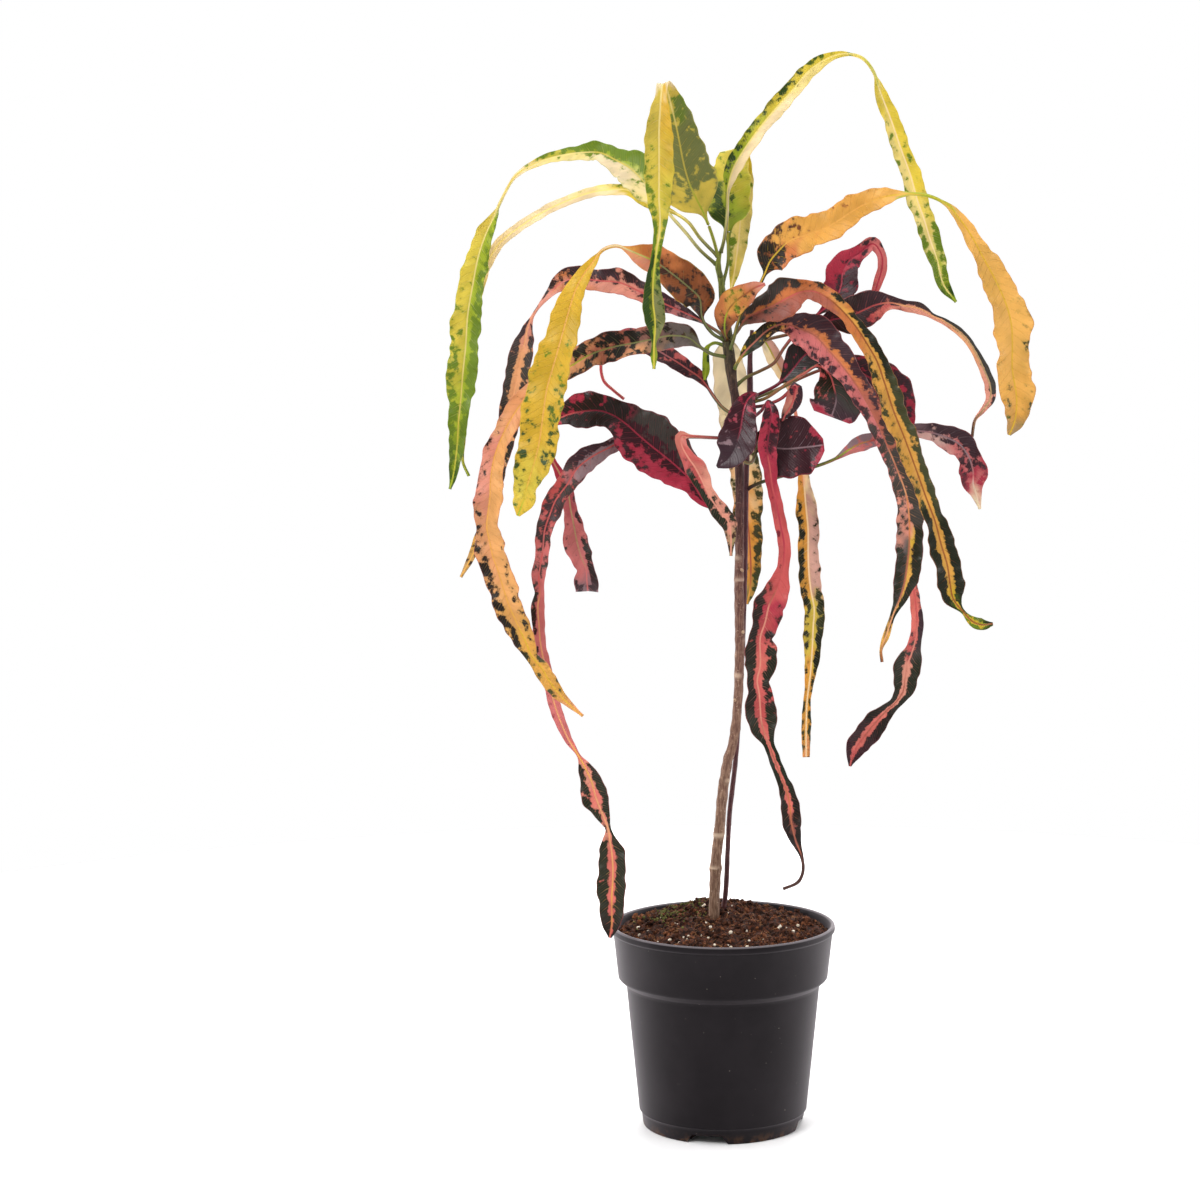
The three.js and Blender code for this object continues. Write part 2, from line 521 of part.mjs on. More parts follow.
function stemGeometry(stations) {
  const axis = stemAxis(stations);
  const foot = axis[0];
  const buried = { at: foot.at.clone().setZ(foot.at.z - STEM_DEPTH), radius: foot.radius };
  const rings = [buried, ...axis].map(({ at, radius }) => {
    const ring = [];
    for (let s = 0; s < STEM_SIDES; s++) {
      const turn = (2 * Math.PI * s) / STEM_SIDES;
      ring.push(new THREE.Vector3(Math.cos(turn) * radius, Math.sin(turn) * radius, 0).add(at));
    }
    return ring;
  });
  return tubeGeometry(rings);
}

const AXES = { trunk: stemAxis(TRUNK), second: stemAxis(SECOND_STEM) };

function nearestOnAxis(axis, point) {
  let best = { gap: Infinity };
  for (let i = 0; i + 1 < axis.length; i++) {
    const line = new THREE.Line3(axis[i].at, axis[i + 1].at);
    const share = line.closestPointToPointParameter(point, true);
    const at = line.at(share, new THREE.Vector3());
    const radius = THREE.MathUtils.lerp(axis[i].radius, axis[i + 1].radius, share);
    const gap = at.distanceTo(point) - radius;
    if (gap < best.gap) best = { gap, at, radius };
  }
  return best;
}

// ---------------------------------------------------------------- leaves

function sideDirection(tangent, point, roll) {
  const view = point.clone().sub(EYE).normalize();
  const side = tangent.clone().cross(view).normalize();
  const normal = tangent.clone().cross(side);
  const turn = THREE.MathUtils.degToRad(roll);
  return side.multiplyScalar(Math.cos(turn)).addScaledVector(normal, Math.sin(turn));
}

function waveAt(leaf, along, u) {
  const turn = (2 * Math.PI * along) / leaf.length;
  const phase = leaf.name.length + (u > 0 ? 0 : 1.9);
  return leaf.wave * u * u * Math.sin(turn * (u > 0 ? 1 : 1.13) + phase);
}

// One cross-section: the lower face from one edge to the other, then the upper face back.
function leafRing(leaf, at, side, normal, width, along) {
  const blade = Math.min(1, width / FULL_BLADE);
  const half = Math.max(width, PETIOLE_WIDTH) / 2;
  const middle = THREE.MathUtils.lerp(PETIOLE_HEIGHT, RIB_HEIGHT, blade);
  const edge = THREE.MathUtils.lerp(PETIOLE_SIDE, EDGE_HEIGHT, blade);
  const rise = Math.tan(THREE.MathUtils.degToRad(leaf.fold)) * blade;
  const upper = [];
  const lower = [];
  for (let i = 0; i < leaf.across; i++) {
    const u = (2 * i) / (leaf.across - 1) - 1;
    const thick = edge + (middle - edge) * (1 - Math.abs(u)) ** 2;
    const wave = waveAt(leaf, along, u) * Math.min(1, width / 20);
    const lift = Math.abs(u) * half * rise + wave;
    const out = at.clone().addScaledVector(side, u * half).addScaledVector(normal, lift);
    upper.push(out.clone().addScaledVector(normal, thick / 2));
    lower.push(out.clone().addScaledVector(normal, -thick / 2));
  }
  return [...lower, ...upper.reverse()];
}

function leafRings(leaf, stations) {
  const curve = stationCurve(stations);
  const last = stations.length - 1;
  const sides = stations.map((station, i) => {
    const roll = station[4] === undefined ? leaf.roll : station[4];
    if (roll === null) return null;
    return sideDirection(curve.getTangent(i / last), curve.getPoint(i / last), roll);
  });
  sides.forEach((side, i) => {
    if (side === null) sides[i] = sides[i - 1].clone().add(sides[i + 1]).normalize();
  });
  const widths = stations.map((station) => {
    const roll = station[4] === undefined ? leaf.roll : station[4];
    return station[3] / Math.max(0.4, Math.abs(Math.cos(THREE.MathUtils.degToRad(roll ?? 0))));
  });
  const { parameters, total } = evenParameters(curve, stations.length, RING_STEP);
  return parameters.map((t, k) => {
    const place = t * last;
    const i = Math.min(Math.floor(place), last - 1);
    const tangent = curve.getTangent(t);
    const side = sides[i].clone().lerp(sides[i + 1], place - i);
    side.addScaledVector(tangent, -side.dot(tangent)).normalize();
    const normal = tangent.clone().cross(side).normalize();
    const along = (total * k) / (parameters.length - 1);
    return leafRing(leaf, curve.getPoint(t), side, normal, between(widths, t), along);
  });
}

// The leaf's rings, with the petiole's end moved to a fitting gap off its stem.
function seatedRings(leaf) {
  const SEARCH_STEP = 0.1;
  const SEARCH_END = 3;
  const axis = AXES[leaf.stem];
  const last = leaf.stations.length - 1;
  const stations = leaf.stations.map(([column, row, depth, ...rest], i) => {
    return [column, row, depth + (leaf.swing * i) / last, ...rest];
  });
  const { at, radius } = nearestOnAxis(axis, seen(...stations[0]));
  const next = seen(...stations[1]);
  const away = next.clone().sub(at);
  away.z *= 0.3;
  away.normalize();
  let rings;
  for (let out = FIT_GAP; out < SEARCH_END; out += SEARCH_STEP) {
    const root = at.clone().addScaledVector(away, radius + out);
    rings = leafRings(leaf, [project(root), ...stations.slice(1)]);
    const gap = Math.min(...rings[0].map((p) => nearestOnAxis(axis, p).gap));
    if (gap >= FIT_GAP) break;
  }
  return rings;
}

// A point's own column, row and depth, so that it can stand in a list of stations.
function project(point) {
  const ray = point.clone().sub(EYE);
  const ahead = ray.y * Math.cos(pitch) - ray.z * Math.sin(pitch);
  const down = -ray.y * Math.sin(pitch) - ray.z * Math.cos(pitch);
  return [VIEW.column + (VIEW.focal * ray.x) / ahead, VIEW.row + (VIEW.focal * down) / ahead, point.y, 0];
}

// ---------------------------------------------------------------- pot

function potGeometry() {
  const lipUnder = POT_HEIGHT - LIP_HEIGHT;
  const collarTop = RIM_RADIUS - 1.8;
  const collarLow = RIM_RADIUS - 5.4;
  const bodyTop = RIM_RADIUS - 11.2;
  const outer = [
    [FOOT_RADIUS - FOOT_WIDTH, 0],
    [FOOT_RADIUS - 1.2, 0],
    [FOOT_RADIUS, 1.4],
    [FOOT_RADIUS + 1, 9],
    [FOOT_RADIUS + 2.8, 12],
    [bodyTop - 3.6, 75],
    [bodyTop - 0.6, COLLAR_BOTTOM - 7],
    [bodyTop + 1, COLLAR_BOTTOM - 3.5],
    [collarLow - 0.8, COLLAR_BOTTOM],
    [collarLow, COLLAR_BOTTOM + 2],
    [collarTop, lipUnder - 1.4],
    [RIM_RADIUS - 0.5, lipUnder],
    [RIM_RADIUS, lipUnder + 1.6],
    [RIM_RADIUS - 0.4, POT_HEIGHT - 1],
    [RIM_RADIUS - 1.5, POT_HEIGHT],
  ];
  const inner = [
    [RIM_RADIUS - 3.2, POT_HEIGHT - 0.6],
    [RIM_RADIUS - 4.2, POT_HEIGHT - 3],
    [collarLow - 0.8 - WALL, COLLAR_BOTTOM + 2],
    [bodyTop - 0.4 - WALL, COLLAR_BOTTOM - 4],
    [bodyTop - 3.6 - WALL, 75],
    [FOOT_RADIUS + 2.4 - WALL, 14],
    [FOOT_RADIUS - 2, PLATE_TOP],
    [0, PLATE_TOP],
  ];
  const plate = [
    [0, PLATE_UNDER],
    [FOOT_RADIUS - FOOT_WIDTH - 1.5, PLATE_UNDER],
  ];
  const outline = [...plate, ...outer, ...inner].map(([r, z]) => new THREE.Vector2(r, z));
  const body = new THREE.LatheGeometry(outline, POT_SIDES).rotateX(Math.PI / 2);
  let pot = toSolid(body);
  for (let i = 0; i < NOTCH_COUNT; i++) {
    pot = pot.subtract(toSolid(notchCutter(NOTCH_TURN + (360 * i) / NOTCH_COUNT)));
  }
  for (let i = 0; i < DRAIN_COUNT; i++) {
    pot = pot.subtract(toSolid(drainCutter((2 * Math.PI * i) / DRAIN_COUNT, DRAIN_CIRCLE)));
  }
  return fromSolid(pot.subtract(toSolid(drainCutter(0, 0))));
}

// A wedge with sloping sides that cuts one drainage gap through the foot ring.
function notchCutter(turn) {
  const shape = new THREE.Shape([
    new THREE.Vector2(-NOTCH_WIDTH / 2 - 1, -1),
    new THREE.Vector2(NOTCH_WIDTH / 2 + 1, -1),
    new THREE.Vector2(NOTCH_TOP_WIDTH / 2, NOTCH_HEIGHT),
    new THREE.Vector2(-NOTCH_TOP_WIDTH / 2, NOTCH_HEIGHT),
  ]);
  const start = FOOT_RADIUS - FOOT_WIDTH - 2;
  const depth = FOOT_WIDTH + 6;
  const wedge = new THREE.ExtrudeGeometry(shape, { depth, bevelEnabled: false });
  return wedge.rotateX(Math.PI / 2).translate(0, -start, 0).rotateZ(THREE.MathUtils.degToRad(turn));
}

function drainCutter(turn, circle) {
  const DRAIN_SIDES = 12;
  const pin = new THREE.CylinderGeometry(DRAIN_RADIUS, DRAIN_RADIUS, 20, DRAIN_SIDES).rotateX(Math.PI / 2);
  return pin.translate(circle * Math.cos(turn), circle * Math.sin(turn), 0);
}

// ---------------------------------------------------------------- potting mix

function soilTop(x, y) {
  const r = Math.hypot(x, y) / (RIM_RADIUS - 6);
  const mound = SOIL_CROWN * (1 - r * r);
  const coarse = Math.sin(x * 0.11 + 1.3) * Math.sin(y * 0.13 + 0.4);
  const fine = Math.sin(x * 0.31 + y * 0.17) * Math.sin(y * 0.37 - x * 0.21 + 2);
  const far = ((x - SOIL_HEAP.x) / SOIL_HEAP.width) ** 2 + ((y - SOIL_HEAP.y) / SOIL_HEAP.depth) ** 2;
  const heap = SOIL_HEAP.height * Math.exp(-far);
  return SOIL_EDGE + mound + heap + SOIL_LUMP * (0.7 * coarse + 0.5 * fine);
}

function soilGeometry() {
  const collarInner = RIM_RADIUS - 8.2;
  const rings = [];
  const circle = (radius, height) => {
    const ring = [];
    for (let s = 0; s < SOIL_SIDES; s++) {
      const turn = (2 * Math.PI * s) / SOIL_SIDES;
      const x = Math.cos(turn) * radius;
      const y = Math.sin(turn) * radius;
      ring.push(new THREE.Vector3(x, y, height === undefined ? soilTop(x, y) : height));
    }
    return ring;
  };
  const inset = WALL + FIT_GAP + 0.5;
  rings.push(circle(FOOT_RADIUS + 2.4 - inset - 2, PLATE_TOP + FIT_GAP));
  rings.push(circle(RIM_RADIUS - 14.8 - inset, 75));
  rings.push(circle(RIM_RADIUS - 11.6 - inset, COLLAR_BOTTOM - 4));
  rings.push(circle(collarInner - FIT_GAP - 0.5, COLLAR_BOTTOM + 3));
  for (let k = 0; k < SOIL_RINGS; k++) {
    rings.push(circle((collarInner + 1.4) * (1 - k / (SOIL_RINGS + 0.4))));
  }
  let soil = toSolid(tubeGeometry(rings));
  for (const stations of [TRUNK, SECOND_STEM]) soil = soil.subtract(toSolid(stemHole(stations)));
  return fromSolid(soil);
}

// The hole that a stem stands in: its buried length, a fitting gap wider all round.
function stemHole(stations) {
  const HOLE_RISE = 30;
  const { at, radius } = stemAxis(stations)[0];
  const width = radius + FIT_GAP + 0.1;
  const length = STEM_DEPTH + FIT_GAP + HOLE_RISE;
  const pin = new THREE.CylinderGeometry(width, width, length, STEM_SIDES * 2).rotateX(Math.PI / 2);
  return pin.translate(at.x, at.y, at.z + HOLE_RISE - length / 2);
}

// ---------------------------------------------------------------- the plant in its pot

const plant = new THREE.Group();

function place(name, geometry, color, roughness) {
  const finish = { color, roughness, metalness: 0, side: THREE.DoubleSide };
  const material = new THREE.MeshStandardMaterial(finish);
  const mesh = new THREE.Mesh(geometry, material);
  mesh.name = name;
  plant.add(mesh);
}

place("pot", potGeometry(), 0x26272a, 0.5);
place("potting_mix", soilGeometry(), 0x5b3d2c, 0.95);
place("main_stem", stemGeometry(TRUNK), 0x5a3c32, 0.8);
place("second_stem", stemGeometry(SECOND_STEM), 0x41262a, 0.7);

const LEAF_COLORS = [0xd6cd4b, 0xe6a050, 0xc85f55, 0x5c3a38];
LEAVES.forEach((leaf, i) => {
  place(leaf.name, tubeGeometry(seatedRings(leaf)), LEAF_COLORS[i % LEAF_COLORS.length], 0.45);
});

export default plant;
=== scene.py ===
"""A potted croton: black nursery pot, peat mix with perlite, two stems and long waved leaves.

Metres, +Z up, the same frame as the solids. The stations of stems and leaves are places in the front view,
with depths and widths in mm. All colours and marks come from nodes and from attributes made here.
"""

import math
import random

import bmesh
import bpy
import numpy as np
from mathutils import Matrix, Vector, noise


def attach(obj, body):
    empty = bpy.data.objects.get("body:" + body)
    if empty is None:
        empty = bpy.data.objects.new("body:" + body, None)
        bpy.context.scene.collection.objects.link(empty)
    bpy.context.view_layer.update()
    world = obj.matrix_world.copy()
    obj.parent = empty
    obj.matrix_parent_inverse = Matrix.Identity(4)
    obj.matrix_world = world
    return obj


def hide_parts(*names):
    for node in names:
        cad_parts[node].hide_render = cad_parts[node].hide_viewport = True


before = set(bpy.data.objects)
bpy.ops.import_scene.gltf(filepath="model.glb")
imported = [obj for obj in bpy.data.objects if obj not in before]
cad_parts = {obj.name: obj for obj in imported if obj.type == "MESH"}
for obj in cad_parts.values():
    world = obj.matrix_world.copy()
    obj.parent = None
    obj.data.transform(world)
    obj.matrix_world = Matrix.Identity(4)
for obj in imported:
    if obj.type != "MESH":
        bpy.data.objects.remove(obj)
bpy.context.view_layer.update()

MM = 0.001

# ------------------------------------------------------------------ the view that the plant is laid out in

FRAME_SIZE = 1200      # the view's width and height in pixels
MIDDLE = 600
FOCAL = 2680           # pixels
AXIS_COLUMN = 723      # the column that the pot's axis is seen in
DISTANCE = 2000        # mm from the eye to the stems' plane
EYE_HEIGHT = 594       # mm
PITCH = math.radians(5.54)
EYE = np.array([0.0, -DISTANCE, EYE_HEIGHT])


def seen(column, row, depth):
    """The point in mm that shows at a column and row of the view, at a depth behind the stems' plane."""
    right = (column - AXIS_COLUMN) / FOCAL
    down = (row - MIDDLE) / FOCAL
    ray = np.array([
        right,
        math.cos(PITCH) - down * math.sin(PITCH),
        -math.sin(PITCH) - down * math.cos(PITCH),
    ])
    return EYE + ray * ((depth + DISTANCE) / ray[1])


# ------------------------------------------------------------------ driving dimensions, mm

RIM_RADIUS = 85
POT_HEIGHT = 154
LIP_HEIGHT = 5
COLLAR_BOTTOM = 113
COLLAR_RADIUS = RIM_RADIUS - 5.4
BODY_RADIUS = RIM_RADIUS - 11.2      # under the collar
BODY_MIDDLE = 75       # the height where the body's taper changes a little
FOOT_RADIUS = 61
WALL = 2
FOOT_WIDTH = 9
PLATE_UNDER = 5
PLATE_TOP = 7.4
POT_SIDES = 240
SHARP_ANGLE = 38       # degrees between faces at an edge of the pot
NOTCH_COUNT = 4
NOTCH_TURN = -11.5     # degrees from the front
NOTCH_WIDTH = 31
NOTCH_TOP_WIDTH = 23
NOTCH_HEIGHT = 6.6
DRAIN_COUNT = 6
DRAIN_RADIUS = 4.5
DRAIN_SIDES = 32
DRAIN_CIRCLE = 32

SOIL_EDGE = 148
SOIL_CROWN = 10
SOIL_RADIUS = 79.8
HEAP_X, HEAP_Y = -4, 36      # the heap of mix behind the stems
HEAP_WIDTH, HEAP_DEPTH, HEAP_HEIGHT = 34, 22, 8

PETIOLE_WIDTH = 2.4
PETIOLE_HEIGHT = 2.2
FULL_BLADE = 8         # from this width on a leaf is all blade
RIB_HEIGHT = 1.4
BLADE_HEIGHT = 0.6
PAINT_GAIN = 0.86      # the studio light is a little brighter than the light the colours are for
RING_STEP = 1.7        # between the rings of points of a leaf

# stems: (column, row, depth, thickness)
TRUNK = [
    (714, 905, 0, 8.4), (716, 863, 0, 8.2), (720, 824, 0, 8), (722, 798, 0, 7.8), (728, 760, 0, 7.6),
    (733.5, 740, 0, 7.2), (738, 700, 0, 6.8), (739.5, 660, 0, 6.8), (739.5, 620, 0, 7.2), (739, 580, 0, 6.8),
    (739.5, 540, 0, 6.6), (739.5, 480, 0, 6.6), (737, 411, 0, 6.6), (733, 385, 0, 6.8), (730, 363, 0, 8.4),
    (727, 335, 0, 8.2), (723, 300, 0, 5.6), (721, 280, 0, 4.8), (718, 266, 0, 4.2), (720, 252, 0, 3),
]
SECOND_STEM = [
    (724, 905, 13, 4), (725.8, 890, 13, 4), (727.7, 851, 13, 3.8), (729.6, 813, 13, 3.8), (734, 775, 12, 3.8),
    (736, 755, 12, 3.8), (742, 660, 12, 3.8), (745, 560, 12, 4), (746, 480, 12, 4.2), (750, 395, 10, 4.6),
    (750, 358, 10, 3.8), (752, 330, 10, 2.8),
]
TRUNK_RINGS = [557, 580, 640, 655, 675, 728, 757, 780, 835, 868]   # rows of the leaf scars
TRUNK_BUDS = [(742, 570), (743, 632), (735, 700)]

# ------------------------------------------------------------------ leaf colours, as they look in even light


def rgb(red, green, blue):
    """A linear colour from the 0 to 255 numbers of a screen."""
    shares = (c / 255 for c in (red, green, blue))
    return tuple(((c + 0.055) / 1.055) ** 2.4 if c > 0.04 else c / 12.92 for c in shares)


STALK = rgb(102, 114, 58)
DARK_STALK = rgb(62, 32, 38)
LEMON = rgb(232, 214, 84)
BUTTER = rgb(248, 232, 156)
CREAM = rgb(252, 234, 196)
LIME = rgb(176, 194, 50)
GREEN = rgb(114, 142, 34)
DEEP = rgb(50, 78, 26)
OLIVE = rgb(142, 144, 90)
GOLD = rgb(230, 190, 60)
AMBER = rgb(236, 178, 84)
APRICOT = rgb(238, 172, 120)
ORANGE = rgb(220, 134, 76)
RUST = rgb(160, 90, 48)
BROWN = rgb(70, 38, 26)
BLACK = rgb(28, 20, 16)
NIGHT_GREEN = rgb(28, 35, 18)
SALMON = rgb(232, 156, 134)
PINK = rgb(218, 122, 120)
PALE_PINK = rgb(226, 186, 176)
ROSE = rgb(182, 52, 74)
CORAL = rgb(208, 92, 90)
CRIMSON = rgb(140, 32, 56)
MAROON = rgb(54, 17, 27)
PLUM = rgb(60, 38, 46)
GREY = rgb(114, 102, 98)
# a dark grey: the colour of some marks; as the ground of the dark leaves it is partly a painted grey sheen,
# standing in for light reflected off their gloss
SLATE = rgb(62, 59, 54)
MAUVE = rgb(154, 126, 132)
FAWN = rgb(190, 158, 112)
PEACH = rgb(242, 182, 112)
IVORY = rgb(255, 244, 218)
SAGE = rgb(126, 132, 74)
HONEY = rgb(246, 194, 102)
SHRIMP = rgb(234, 124, 112)
MOSSY = rgb(72, 76, 44)
HUSK = rgb(84, 54, 48)
BRICK = rgb(182, 104, 84)
UMBER = rgb(136, 88, 80)
STRAW = rgb(226, 204, 90)

# ------------------------------------------------------------------ leaf stations

